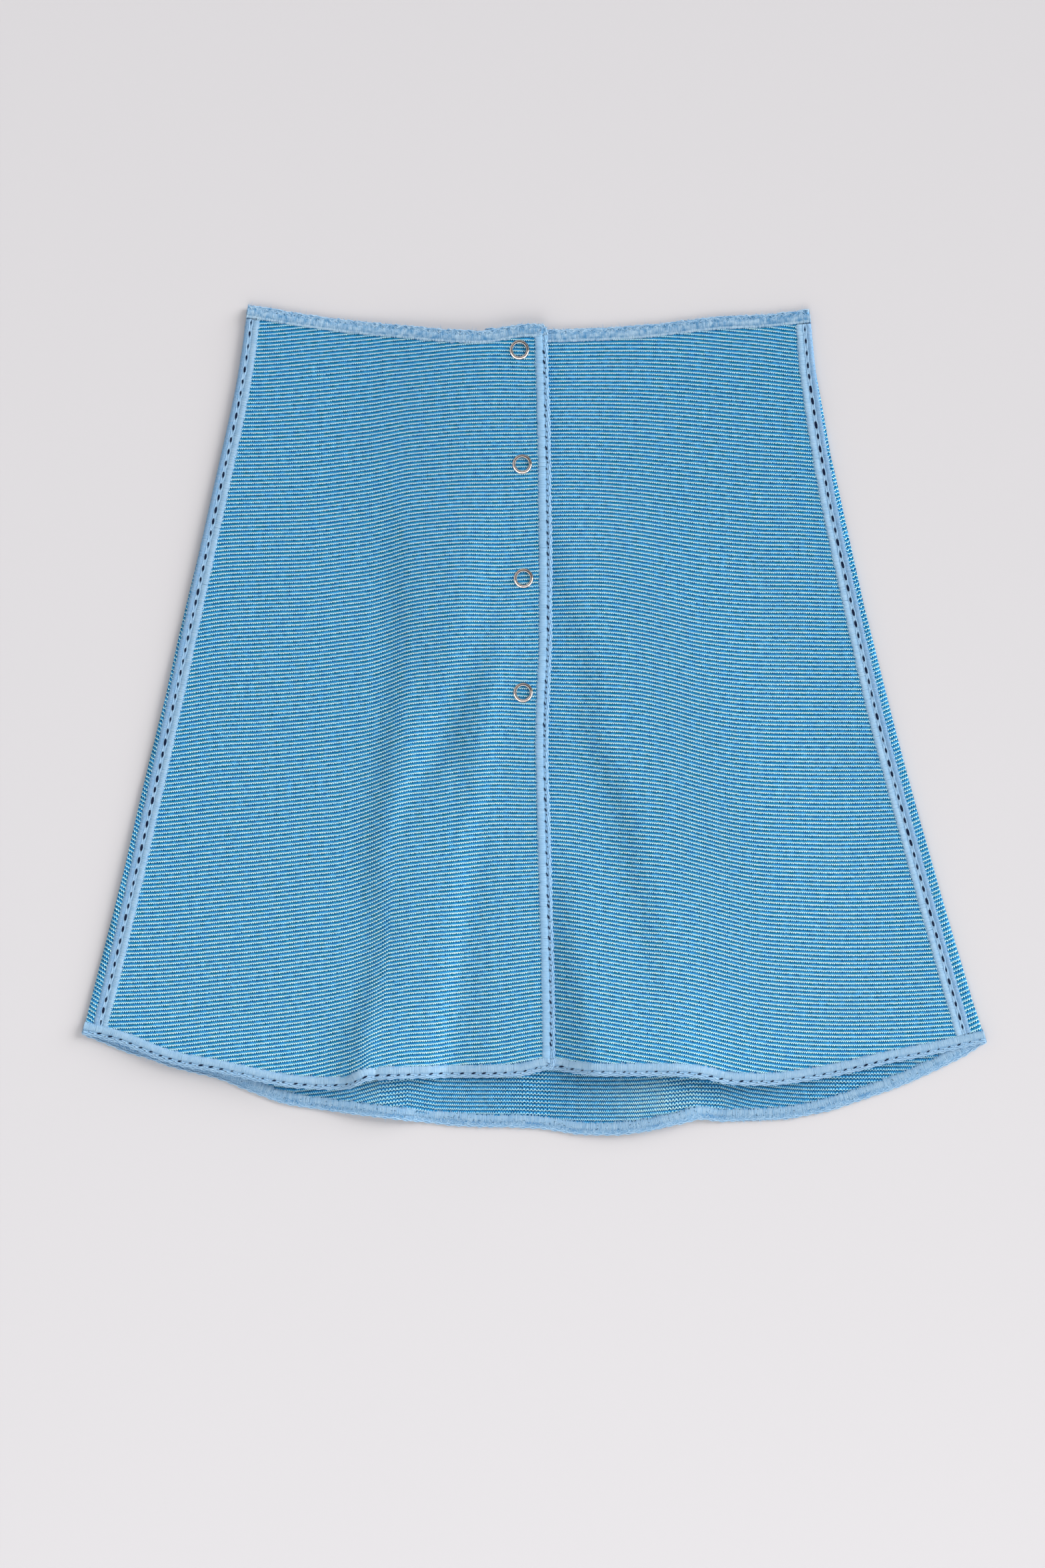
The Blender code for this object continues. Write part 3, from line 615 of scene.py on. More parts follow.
def finish_knit(name, points, stitch, uv, under_uv, materials):
    """Mesh of a knit sheet: rows that an edge cut off are merged, and the sheet gets its wall.

    The second face has its own knit, and under_uv moves its share of the OFBake map out of the way.
    """
    rows, columns = points.shape[:2]
    piece = mesh_piece(name, points.reshape(-1, 3), grid_faces(rows, columns).tolist(), materials[0])
    mesh = piece.data
    store(mesh, "stitch", stitch)
    layer = mesh.uv_layers.new(name="OFBake")
    corners = np.empty(len(mesh.loops), np.int32)
    mesh.loops.foreach_get("vertex_index", corners)
    layer.uv.foreach_set("vector", uv.reshape(-1, 2)[corners].reshape(-1).astype(np.float32))
    shape = bmesh.new()
    shape.from_mesh(mesh)
    bmesh.ops.remove_doubles(shape, verts=shape.verts, dist=1e-6)
    shape.to_mesh(mesh)
    shape.free()
    mesh.materials.append(materials[1])
    corners, faces = len(mesh.loops), len(mesh.polygons)
    alone(piece)
    wall = piece.modifiers.new("wall", "SOLIDIFY")
    wall.thickness = SHEET * MM
    wall.offset = -1.0
    bpy.ops.object.modifier_apply(modifier=wall.name)
    layer = piece.data.uv_layers["OFBake"].uv
    values = np.empty(len(layer) * 2, np.float32)
    layer.foreach_get("vector", values)
    values = values.reshape(-1, 2)
    values[corners:] = np.stack(under_uv(*values[corners:].T), axis=-1)
    layer.foreach_set("vector", values.reshape(-1))
    finish = np.zeros(len(piece.data.polygons), np.int32)
    finish[faces:2 * faces] = 1
    piece.data.polygons.foreach_set("material_index", finish)
    piece.data.shade_smooth()
    piece.data.set_sharp_from_angle(angle=math.radians(60.0))
    return piece


def own_level(lift, x, y, start):
    """The row level that passes through a point; a row that an edge cut off gets the edge's level."""
    q = start
    for _ in range(12):
        q = y - lift(x, q)
    return q


def corrugation(course, knit):
    """Height of the knit's rows: the pale course stands up."""
    return knit.relief / MM * (np.cos(2.0 * math.pi * (course - 0.25)) - 1.0)


def front_panel(name, left, right, top, bottom, lift, under, knit, materials):
    """One front panel: rows follow the knit's courses, columns run from side to side."""
    u = np.linspace(0.0, 1.0, knit.columns + 1)[None, :]
    low, high = FRONT_REACH
    level = np.linspace(low, high - 4.0, 30)[:, None]
    reach = lift(left(level) + (right(level) - left(level)) * u, level)
    q = row_levels(low - reach.max(), high - reach.min(), knit)
    y = np.clip(q + 0.0 * u, low + 10.0, high - 9.0)
    for _ in range(SETTLING):
        x = left(y) + (right(y) - left(y)) * u
        rise = lift(x, q)
        y = np.clip(q + rise, bottom(x), top(x))
    course = course_count(own_level(lift, x, y, y - rise), knit)
    z = under(x, y) + WALL + corrugation(course, knit)
    stitch = np.stack((x / (knit.wale / MM), course, 0.0 * x), axis=-1)
    uv = np.stack((0.01 + 0.8 * u + 0.0 * y, 0.01 + 0.98 * (y - y.min()) / np.ptp(y)), axis=-1)
    return finish_knit(name, np.stack((x, y, z), axis=-1)[::-1], stitch[::-1], uv[::-1],
                       lambda u, v: (0.82 + 0.2 * u, v), materials)


def knit_edge(line, side, under_trim):
    """The knit's own edge, a little way in under a waist or hem trim."""
    return lambda x: line(x) - side * (TRIM - under_trim) * line.slant(x)


def back_panel(knit, materials):
    """The back panel, with its sides turned up and over the folds."""
    start, hidden, face = 3.4, 2.2, WALL - 0.05
    ring = start + np.array((0.0, 1.4, 2.8, 4.2, 5.4, 6.4, 7.3, 8.2, 9.1, 10.0, 11.2, 12.6, 15.5, 20.0))
    middle = np.linspace(0.0, 1.0, knit.columns - 14)[1:-1]
    lines = {side: (knit_edge(waist, 1, hidden), knit_edge(hem, -1, hidden))
             for side, waist, hem in ((-1, waist_left, hem_left), (1, waist_right, hem_right))}
    low_top, low_bottom = knit_edge(waist_back, 1, hidden), knit_edge(hem_back, -1, hidden)
    q = row_levels(*BACK_REACH, knit)
    levels = {-1: np.clip(q, -180.0, 210.0) + 0.0 * ring, 1: np.clip(q, -180.0, 210.0) + 0.0 * ring}
    for _ in range(SETTLING):
        sides = {}
        for side, y in levels.items():
            slant = (left_seam if side < 0 else right_seam).slant(y)
            x, z = wrap(ring[None, :] * slant, y, side, face)
            low = soft((FOLD_RADIUS - z) / WALL + 0.5)
            top = lines[side][0](x) * (1 - low) + low_top(x) * low
            bottom = lines[side][1](x) * (1 - low) + low_bottom(x) * low
            levels[side] = np.clip(q + course_lift_back(x, q), bottom, top)
            sides[side] = (x, levels[side], z)
    left = sides[-1]
    right = [part[:, ::-1] for part in sides[1]]
    ym = q + 0.0 * middle
    for _ in range(SETTLING):
        start_x, _ = wrap(ring[-1] * left_seam.slant(ym), ym, -1, face)
        end_x, _ = wrap(ring[-1] * right_seam.slant(ym), ym, 1, face)
        xm = start_x + (end_x - start_x) * middle
        ym = np.clip(q + course_lift_back(xm, q), low_bottom(xm), low_top(xm))
    inner = (xm, ym, back_lift(xm, ym) + 0.05)
    x, y, z = (np.concatenate(parts, axis=1) for parts in zip(left, inner, right))
    course = course_count(own_level(course_lift_back, x, y, q + 0.0 * x), knit)
    # the rows stand out from the cloth's outer face, above and below, and fade round the side folds
    away = np.clip(np.abs(z - back_lift(x, y) - FOLD_RADIUS) / 0.9, 0.0, 1.0)
    z = z + away * np.where(z > 1.9, 1.0, -1.0) * corrugation(course, knit)
    steps = np.hypot(np.diff(x, axis=1, prepend=x[:, :1]), np.diff(z, axis=1, prepend=z[:, :1]))
    span = np.cumsum(steps, axis=1)
    middle_row, middle_column = len(x) // 2, x.shape[1] // 2
    across = x[:, middle_column:middle_column + 1] + span - span[:, middle_column:middle_column + 1]
    places = np.linspace(-300.0, 300.0, 1200)
    counts = np.cumsum(back_density(places)) * (places[1] - places[0]) / (knit.wale / MM)
    wale = np.interp(across, places, counts)
    stitch = np.stack((wale, course, 0.0 * x), axis=-1)
    span = span[middle_row]
    uv = np.stack((0.01 + 0.98 * span[None, :] / span[-1] + 0.0 * y,
                   0.12 + 0.87 * (y - y.min()) / np.ptp(y)), axis=-1)
    return finish_knit("back_panel_knit", np.stack((x, y, z), axis=-1), stitch, uv,
                       lambda u, v: (u, np.interp(v, (0.12, 0.22, 1.0), (0.002, 0.1, 0.112))), materials)


# Overlocked edges


CORE_STEP = 2.5
CORD_SIDES = 4


class Edge:
    """An overlocked edge: a path along its outer side, and a place for each distance along and across.

    Distance across runs from 0 on the inner side to the trim's width on the outer side.
    """

    def __init__(self, path, height):
        path = np.asarray(path, float)
        steps = np.hypot(*np.diff(path, axis=0).T)
        self.run = np.concatenate(([0.0], np.cumsum(steps)))
        self.length = self.run[-1]
        self.path = path
        along = np.gradient(path, self.run, axis=0)
        self.outward = np.stack((-along[:, 1], along[:, 0]), axis=1)
        self.height = height

    def place(self, a, d, h):
        past = a - np.clip(a, 0.0, self.length)
        nx, ny = (np.interp(a, self.run, self.outward[:, k]) for k in (0, 1))
        x = np.interp(a, self.run, self.path[:, 0]) + nx * (d - TRIM) + ny * past
        y = np.interp(a, self.run, self.path[:, 1]) + ny * (d - TRIM) - nx * past
        return np.stack((x, y, self.height(x, y) + h), axis=-1)


class SeamEdge:
    """One side of a side seam, with distance across measured outward from the seam."""

    def __init__(self, line, side, top, bottom, wrapped):
        self.y = np.linspace(top, bottom, 300)[::side]
        self.run = np.concatenate(([0.0], np.cumsum(np.hypot(np.diff(line(self.y)), np.diff(self.y)))))
        self.length = self.run[-1]
        self.line, self.side, self.wrapped = line, side, wrapped

    def place(self, a, d, h):
        y = np.interp(a, self.run, self.y)
        lean = self.line.lean(y)
        long = np.sqrt(1.0 + lean * lean)
        level = y - self.side * d * lean / long
        if self.wrapped:
            x, z = wrap(d * long, level, self.side, h)
        else:
            x = self.line(y) + self.side * d / long
            z = front_floor(x, level) + h
        return np.stack((x, level, z), axis=-1)


def corner(x, y, radius, start, turn):
    """Points round a corner, about a centre."""
    angle = np.radians(np.linspace(start, start + turn, 14)[1:-1])
    return np.stack((x + radius * np.cos(angle), y + radius * np.sin(angle)), axis=1)


def level_path(line, start, end):
    x = np.linspace(start, end, max(int(abs(end - start) / 1.5), 3))
    return np.stack((x, line(x)), axis=1)


def upright_path(line, start, end):
    y = np.linspace(start, end, max(int(abs(end - start) / 1.5), 3))
    return np.stack((line(y), y), axis=1)


def path_normals(path):
    """Outward directions of a path of (distance across, height) points."""
    step = np.gradient(np.asarray(path, float), axis=0)
    normal = np.stack((-step[:, 1], step[:, 0]), axis=1)
    return normal / np.linalg.norm(normal, axis=1)[:, None]


def make_threads(edge, path, pitch, rng, tone, ends=(0.3, 0.1), tips=(0.5, 0.8), pull=None, drop=0.0,
                 edge_shade=0.14):
    """Threads laid side by side across an edge.

    The path is a row of (distance across, height) points. The ends wander by so much and narrow to so
    much of their width; a pull draws the last point towards bundles, and some threads may be missing.
    """
    path = np.asarray(path, float)
    count = max(int(edge.length / pitch), 2)
    along = (np.arange(count) + 0.5) * edge.length / count + rng.normal(0.0, pitch * 0.1, count)
    along = along[rng.random(count) >= drop]
    count = len(along)
    stations = len(path)
    across = np.repeat(path[None, :, 0], count, axis=0)
    height = np.repeat(path[None, :, 1], count, axis=0)
    across[:, 0] += rng.normal(0.0, ends[0], count)
    across[:, -1] += rng.normal(0.0, ends[1], count)
    slip = np.cumsum(rng.normal(0.0, pitch * 0.06, (count, stations)), axis=1)
    a = along[:, None] + slip
    half = np.full((count, stations), edge.length / max(count, 1) * 0.66 * (1.0 - drop))
    half[:, 0] *= tips[0]
    half[:, -1] *= tips[1]
    if pull:
        repeat, share, phase = pull
        centre = (np.floor(along / repeat - phase) + 0.5 + phase) * repeat
        weight = np.linspace(0.0, 1.0, stations)[None, :] ** 2 * share
        a = a + (centre - along)[:, None] * weight
        half = half * (1.0 - weight * 0.8)
    normals = path_normals(path)
    wave = rng.normal(0.0, 0.03, (count, 1))
    rows = []
    for sideways, up in ((-1.0, -0.16), (0.0, 0.12), (1.0, -0.16)):
        d = across + normals[None, :, 0] * (up + wave)
        h = height + normals[None, :, 1] * (up + wave)
        rows.append(edge.place(a + sideways * half, d, h))
    points = np.stack(rows, axis=2)
    # painted light: each thread is lighter across the middle of the band and darker towards its ends, as a
    # rounded band in light would be
    fade = np.interp(np.linspace(0.0, 1.0, stations), (0.0, 0.3, 0.7, 1.0), (0.55, 1.0, 1.0, 0.6))
    tones = (rng.uniform(*tone, (count, 1, 1)) * fade[None, :, None] * np.ones(3)).ravel()
    # painted shade along both edges of each thread, for the shade between threads
    depth = np.tile(np.array((edge_shade, 0.0, edge_shade)), count * stations)
    strand = np.stack((tones, depth, 0 * tones), axis=-1)
    return points.reshape(-1, 3), strip_faces(count, stations, 3), strand


def swept(edge, a, across, height, tone, depth, flip=False):
    """A closed body along an edge, from the distances across and heights of its loops."""
    count, around = across.shape
    points = edge.place(a[:, None] + 0.0 * across, across, height)
    strand = np.tile(np.array((tone, depth, 0.0)), (count * around, 1))
    faces = tube_faces(count, around)
    caps = [list(range(around))[::-1], list(range((count - 1) * around, count * around))]
    if flip:
        faces = faces[:, ::-1]
        caps = [cap[::-1] for cap in caps]
    return points.reshape(-1, 3), faces, strand, caps


def make_core(edge, loop, tone, depth):
    """Closed body under the threads, along the same edge; its depth value is painted shade where it shows
    between them.
    """
    across, height = np.transpose(loop)
    a = np.linspace(0.05, edge.length - 0.05, max(int(edge.length / CORE_STEP), 2))
    level = 0.0 * a[:, None]
    return swept(edge, a, across + level, height + level, tone, depth, flip=True)


def make_cord(edge, across, height, radius, tone, step=0.8):
    """A round strand along an edge; across and height are functions of the distance along."""
    a = np.linspace(0.0, edge.length, max(int(edge.length / step), 3))
    turn = np.arange(CORD_SIDES) / CORD_SIDES * 2.0 * math.pi
    d = (across(a) + 0.0 * a)[:, None] + radius * np.cos(turn)[None, :]
    h = (height(a) + 0.0 * a)[:, None] + radius * 0.8 * np.sin(turn)[None, :]
    return swept(edge, a, d, h, tone, 0.0)


def make_hairs(edge, rng, share, tone):
    """Fine loose hairs that stand off the outer edge, so many to a millimetre, each a thin strip."""
    stations, count = 5, int(edge.length * share)
    t = np.linspace(0.0, 1.0, stations)[None, :]
    a = rng.uniform(0.0, edge.length, (count, 1))
    reach = rng.gamma(2.0, 0.45, (count, 1))
    lean = rng.normal(0.0, 0.9, (count, 1))
    curl = rng.normal(0.0, 1.1, (count, 1))
    a = a + lean * t + curl * t * t
    d = rng.uniform(5.6, 6.8, (count, 1)) + reach * t
    h = rng.uniform(0.5, 1.1, (count, 1)) + rng.normal(0.2, 0.4, (count, 1)) * t
    rows = [edge.place(a + off * (1.2 - t), d, h) for off in (-0.055, 0.055)]
    points = np.stack(rows, axis=2)
    strand = np.tile(np.array((tone, 0.0, 0.0)), (count * stations * 2, 1))
    return points.reshape(-1, 3), strip_faces(count, stations, 2), strand


def make_fuzz(edge, surface, rng, band, share, tone, long, wide, depth=(0.0, 0.0)):
    """Short loose strands, so many to a millimetre, that lie every way over a band of an edge.

    The surface they lie on is a row of (distance across, height), the band a pair of distances across, and
    depth the range of painted shade the strands take.
    """
    stations, count = 4, int(edge.length * share)
    t = np.linspace(-0.5, 0.5, stations)[None, :]
    angle = rng.uniform(0.0, math.pi, (count, 1))
    bend = rng.normal(0.0, 0.7, (count, 1))
    reach = long * rng.uniform(0.5, 1.4, (count, 1))
    a = rng.uniform(0.0, edge.length, (count, 1)) + reach * (t * np.cos(angle) - bend * t * t * np.sin(angle))
    d = rng.uniform(*band, (count, 1)) + reach * (t * np.sin(angle) + bend * t * t * np.cos(angle))
    lift = rng.uniform(0.06, 0.24, (count, 1)) - 0.5 * t * t
    rows = []
    for off in (-0.5 * wide, 0.5 * wide):
        across = d + off * np.cos(angle)
        height = np.interp(across, *np.transpose(surface)) + lift
        rows.append(edge.place(a - off * np.sin(angle), across, height))
    points = np.stack(rows, axis=2)
    strand = np.stack((rng.uniform(*tone, count), rng.uniform(*depth, count), np.zeros(count)), axis=-1)
    return points.reshape(-1, 3), strip_faces(count, stations, 2), np.repeat(strand, stations * 2, axis=0)


def make_hole_shades(edge, rng, start, repeat, across, long, wide, height, slant=0.0, share=1.0, show=0.0,
               stray=0.06):
    """Painted shade in the small hollows left between stitches: flat dark ovals at an even spacing along an
    edge.

    A share under 1 leaves them in patches; show turns them to the knit's blue. They stray so far
    across the edge, are smaller in places, and close up near the edge's ends.
    """
    centre = np.arange(start, edge.length, repeat)
    count = int(edge.length / 9.0) + 2
    stretches = np.linspace(0.0, edge.length, count)
    patches = np.interp(centre, stretches, rng.random(count))
    centre = centre[patches + rng.uniform(-0.15, 0.15, len(centre)) < share * 1.2][:, None]
    centre = centre + rng.normal(0.0, repeat * 0.04, centre.shape)
    turn = np.arange(8)[None, :] / 8.0 * 2.0 * math.pi
    grow = rng.uniform(0.75, 1.12, centre.shape)
    loose = np.interp(centre, stretches, rng.uniform(0.5, 1.25, count)).clip(0.6, 1.0)
    grow = grow * loose * np.clip(np.minimum(centre, edge.length - centre) / 8.0, 0.3, 1.0)
    a = centre + 0.5 * long * grow * np.cos(turn)
    d = across + rng.normal(0.0, stray, centre.shape) + 0.5 * wide * grow * np.sin(turn)
    d = d + slant * (a - centre)
    points = edge.place(a, d, height)
    oval = np.array(((0, 1, 2, 3), (0, 3, 4, 7), (7, 4, 5, 6)))
    faces = (oval[None] + (np.arange(len(points)) * 8)[:, None, None]).reshape(-1, 4)
    # the ovals take painted shade, except for the share that shows the knit's blue
    return points.reshape(-1, 3), faces, np.tile(np.array((0.0, 1.0 - show, show)), (len(points) * 8, 1))


def join_parts(name, parts, material):
    """One mesh from several lots of points, faces and strand values."""
    points, faces, strand, base = [], [], [], 0
    for part in parts:
        points.append(part[0])
        strand.append(part[2])
        faces += (np.asarray(part[1]) + base).tolist()
        faces += [[base + k for k in cap] for cap in (part[3] if len(part) > 3 else ())]
        base += len(part[0])
    piece = mesh_piece(name, np.concatenate(points), faces, material)
    store(piece.data, "strand", np.concatenate(strand))
    return piece


# Cross-sections: distance across and height of each point
TRIM_TOP = ((0.3, 0.95), (1.6, 1.16), (3.6, 1.14), (4.6, 1.02), (5.6, 0.92), (6.3, 0.7))
TRIM_CORE = (*TRIM_TOP, (6.4, 0.34), (4.5, 0.26), (2.0, 0.24), (0.3, 0.3))
SATIN = ((-0.2, 1.18), (0.6, 1.38), (1.7, 1.48), (3.0, 1.44), (3.8, 1.28), (4.3, 1.06))
UNDERSIDE = ((6.5, 0.56), (6.2, 0.24), (4.4, 0.14), (2.0, 0.14), (0.0, 0.24))
WAIST_SATIN = ((0.9, 1.22), (1.7, 1.4), (2.6, 1.42), (3.4, 1.36), (4.1, 1.2), (4.7, 1.05))
WAIST_COMB = ((-0.4, 1.26), (0.2, 1.36), (0.8, 1.42), (1.4, 1.42))


# Strands of the looped chain: middle, swing, phase, height, rise, radius and tone
BRAID = (
    (4.75, 0.22, 0.0, 1.1, 0.08, 0.3, 0.8),
    (5.55, -0.2, 0.5, 1.08, 0.1, 0.36, 0.72),
    (6.1, 0.26, 1.2, 0.92, 0.1, 0.36, 0.75),
    (6.5, -0.32, 1.9, 0.66, 0.08, 0.34, 0.8))


def braid(edge, repeat, loose, rng):
    """The looped chain along a hem or placket edge."""
    turn = 2.0 * math.pi / repeat
    shift = np.interp(np.linspace(0, 39, 400), np.arange(40), rng.normal(0.0, loose, 40))

    def wander(a):
        return np.interp(a, np.linspace(0.0, edge.length, 400), shift)

    return [make_cord(edge, lambda a, m=m, s=s, p=p: m + s * np.cos(a * turn + p) + wander(a),
                      lambda a, h=h, r=r, p=p: h + r * np.cos(2 * a * turn + p), radius, tone)
            for m, s, p, h, r, radius, tone in BRAID]


def arcs(edge, repeat, rng):
    """The scalloped arcs along a waist edge."""
    turn = math.pi / repeat
    drift = rng.normal(0.0, 0.16, 120)

    def along(a):
        return np.interp(a, np.linspace(0.0, edge.length, 120), drift)

    return [
        make_cord(edge, lambda a: 3.9 + 2.1 * np.abs(np.sin(a * turn)) ** 0.55 + along(a),
                  lambda a: 1.1 - 0.25 * np.abs(np.sin(a * turn)), radius=0.2, tone=0.8, step=0.6),
        make_cord(edge, lambda a: 6.3 + 0.2 * np.cos(a * turn * 4) + 2 * along(a), lambda a: 0.82 + 0.0 * a,
                  radius=0.36, tone=0.55),
    ]


def make_trim(name, edge, style, thread, material, rng):
    """A whole overlocked edge: core, threads over and under it, and its looped border."""
    pitch, repeat = thread.pitch / MM, thread.bundle / MM
    parts = [make_core(edge, TRIM_CORE, tone=0.4, depth=0.1),
             make_threads(edge, UNDERSIDE, pitch * 2.2, rng, tone=(0.5, 0.9), ends=(0.05, 0.3),
                          tips=(1.0, 0.5))]
    if style == "waist":
        parts += [
            make_threads(edge, WAIST_SATIN, pitch, rng, tone=(0.35, 0.75), ends=(0.1, 0.3), tips=(0.9, 0.7)),
            make_threads(edge, WAIST_COMB, pitch * 1.45, rng, tone=(0.7, 1.0), ends=(0.2, 0.1),
                         tips=(0.2, 0.5), edge_shade=0.3),
            make_hole_shades(edge, rng, start=pitch * 0.7, repeat=pitch * 1.45, across=0.35, long=0.34, wide=1.0,
                       height=1.24),
            make_fuzz(edge, TRIM_TOP, rng, band=(3.6, 6.5), share=2.6, tone=(0.1, 0.8), long=1.7, wide=0.3),
            # these strands take painted shade among the fuzz
            make_fuzz(edge, TRIM_TOP, rng, band=(3.8, 6.5), share=1.4, tone=(0.0, 0.2), long=1.0, wide=0.4,
                      depth=(0.15, 0.6)),
            make_fuzz(edge, TRIM_TOP, rng, band=(4.0, 6.7), share=1.2, tone=(0.6, 1.0), long=1.5, wide=0.24),
            make_hairs(edge, rng, share=3.6, tone=0.7), *arcs(edge, repeat, rng)]
    elif style == "scruffy":
        parts += [
            make_threads(edge, SATIN, pitch, rng, tone=(0.5, 0.95), ends=(0.5, 0.3), tips=(0.6, 0.8)),
            make_fuzz(edge, TRIM_TOP, rng, band=(2.4, 6.3), share=4.0, tone=(0.45, 1.0), long=1.7, wide=0.32),
            # these strands take painted shade, as dark lines between thread groups
            make_fuzz(edge, SATIN, rng, band=(1.5, 4.8), share=0.35, tone=(0.0, 0.1), long=0.9, wide=0.3,
                      depth=(0.2, 0.8)),
            make_hole_shades(edge, rng, start=0.0, repeat=0.8, across=4.3, long=0.34, wide=1.3, height=1.34,
                       share=0.24, show=0.75, stray=0.45),
            make_hole_shades(edge, rng, start=0.3, repeat=1.0, across=3.1, long=0.22, wide=1.7, height=1.47,
                       share=0.6, show=0.45, stray=0.5),
            make_hairs(edge, rng, share=1.2, tone=0.8), *braid(edge, repeat, 0.26, rng)[2:]]
    else:
        upright = name.startswith("placket")
        slant = 0.32 if upright else 0.22
        parts += [
            make_threads(edge, SATIN, pitch, rng, tone=(0.72, 0.92), ends=(0.28, 0.1), tips=(0.45, 0.8),
                         pull=(repeat, 0.05, 0.5), edge_shade=0.06 if upright else 0.1),
            make_fuzz(edge, TRIM_TOP, rng, band=(4.6, 6.4), share=0.9, tone=(0.4, 0.9), long=1.5, wide=0.28),
            make_hole_shades(edge, rng, start=repeat * 0.5, repeat=repeat, across=4.5, long=2.5, wide=0.85,
                       height=1.44, slant=slant),
            make_hole_shades(edge, rng, start=0.0, repeat=repeat, across=5.15, long=1.2,
                       wide=0.9 if upright else 0.5, height=1.36, slant=slant),
            make_hairs(edge, rng, share=0.6, tone=0.8), *braid(edge, repeat, 0.1, rng)]
    return join_parts(name, parts, material)


# Settings


def size(name, description, default, **limits):
    return bpy.props.FloatProperty(name=name, description=description, default=default, subtype="DISTANCE",
                                   unit="LENGTH", precision=4, **limits)


def number(name, description, default, **limits):
    return bpy.props.FloatProperty(name=name, description=description, default=default, **limits)


def whole(name, description, default, least):
    return bpy.props.IntProperty(name=name, description=description, default=default, min=least)


def colour(name, description, default):
    return bpy.props.FloatVectorProperty(name=name, description=description, default=default, size=3,
                                         min=0.0, max=1.0, subtype="COLOR")


class SkirtKnitSettings(bpy.types.PropertyGroup):
    stripe: size("Stripe", "Height of one pale and one blue course", 0.002045, min=0.001)
    wale: size("Stitch width", "Width of one stitch", 0.00116, min=0.0005)
    relief: size("Relief", "How far the pale courses stand up", 0.00011, min=0.0)
    stretch: number("Stretch", "How fast the stripes widen to the hem", 0.00041, precision=6)
    rows_per_stripe: whole("Rows", "Mesh rows to a stripe", 4, 2)
    columns: whole("Columns", "Mesh columns of a panel", 46, 24)
    stitch_depth: number("Stitch depth", "How deep each V is, in stripes", 0.36, min=0.0, max=1.0)
    pale_half: number("Pale width", "Half a pale course, in stripes", 0.165)
    # the notches are painted shade under each pale course, and contrast sets how dark that shade is
    notch_level: number("Notch level", "How far the dark notches lie under the pale course, in stripes", 0.3)
    notch_half: number("Notch height", "Half a dark notch, in stripes", 0.17)
    contrast: number("Contrast", "How dark the notches are", 1.15)
    pale: colour("Pale yarn", "Colour of the pale courses", (0.665, 0.985, 1.0))
    cool_pale: colour("Pale yarn, cool", "Second colour of the pale courses", (0.425, 0.87, 1.0))
    blue: colour("Blue yarn", "Colour of the blue courses", (0.012, 0.205, 0.54))
    deep_blue: colour("Blue yarn, deep", "Second colour of the blue courses", (0.001, 0.22, 0.41))
    # light blue is also the colour of the painted highlight on the blue loops
    light_blue: colour("Blue yarn, light", "Third colour of the blue courses", (0.04, 0.365, 0.77))
    # painted shade: the colour of the gaps between the stitches
    shade: colour("Gaps", "Colour between the stitches", (0.001, 0.03, 0.115))


class SkirtThreadSettings(bpy.types.PropertyGroup):
    pitch: size("Pitch", "From one thread to the next", 0.0005, min=0.0002)
    bundle: size("Bundle", "From one small hole to the next", 0.0057, min=0.001)
    colour: colour("Thread", "Colour of the hem and side threads", (0.43, 0.65, 0.85))
    placket: colour("Placket thread", "Colour of the placket threads", (0.37, 0.61, 0.84))
    waist: colour("Waist thread", "Colour of the waist threads", (0.48, 0.69, 0.87))
    waist_mid: colour("Waist thread, mid", "Darker colour of the waist threads", (0.10, 0.32, 0.60))
    back: colour("Back seam thread", "Colour of the back's side threads", (0.33, 0.51, 0.72))
    mid: colour("Thread, mid", "Darker colour of the threads", (0.15, 0.38, 0.66))
    # painted shade: the colour between the threads and in the holes
    shade: colour("Between", "Colour between the threads", (0.001, 0.008, 0.035))
    show: colour("Knit between", "Colour of the knit that shows between loose threads", (0.02, 0.26, 0.62))


class SkirtSnapSettings(bpy.types.PropertyGroup):
    outer: size("Outer radius", "Outer radius of a ring", 0.0053)
    inner: size("Inner radius", "Inner radius of a ring", 0.0035)
    colour: colour("Nickel", "Colour of the rings", (0.45, 0.39, 0.36))
    # painted shade for a ring's groove and rims, and a painted highlight for its lip
    tarnish: colour("Tarnish", "Colour in the groove of a ring", (0.08, 0.05, 0.045))
    bright: colour("Polished", "Colour along the lip of a ring", (0.92, 0.9, 0.88))


class SkirtStageSettings(bpy.types.PropertyGroup):
    distance: size("Camera distance", "Height of the camera", 1.9)
    centre: bpy.props.FloatVectorProperty(name="View centre", description="Middle of the view", size=2,
                                          default=(-0.00625, -0.0341), subtype="XYZ", unit="LENGTH")
    long_side: size("View length", "Length of floor that the view's long side takes in", 0.84)
    key: number("Key light", "Strength of the light from the right", 4.15)
    low: number("Low light", "Power of the light beyond the hem", 10.8)
    sky: number("Soft light", "Strength of the light all round", 0.545)
    gleam: number("Gleam", "Power of the lights that only the metal shows", 5.0)
    floor: colour("Floor", "Colour of the floor", (0.70, 0.687, 0.705))


# Operators


class SKIRT_OT_back_panel(bpy.types.Operator):
    """Knit the back panel, turned up round the side folds"""
    bl_idname = "skirt.back_panel"
    bl_label = "Back Panel"

    def execute(self, context):
        knit = context.scene.skirt_knit
        piece = back_panel(knit, knit_materials("back_knit", knit))
        settle(piece, "back_panel")
        return {"FINISHED"}


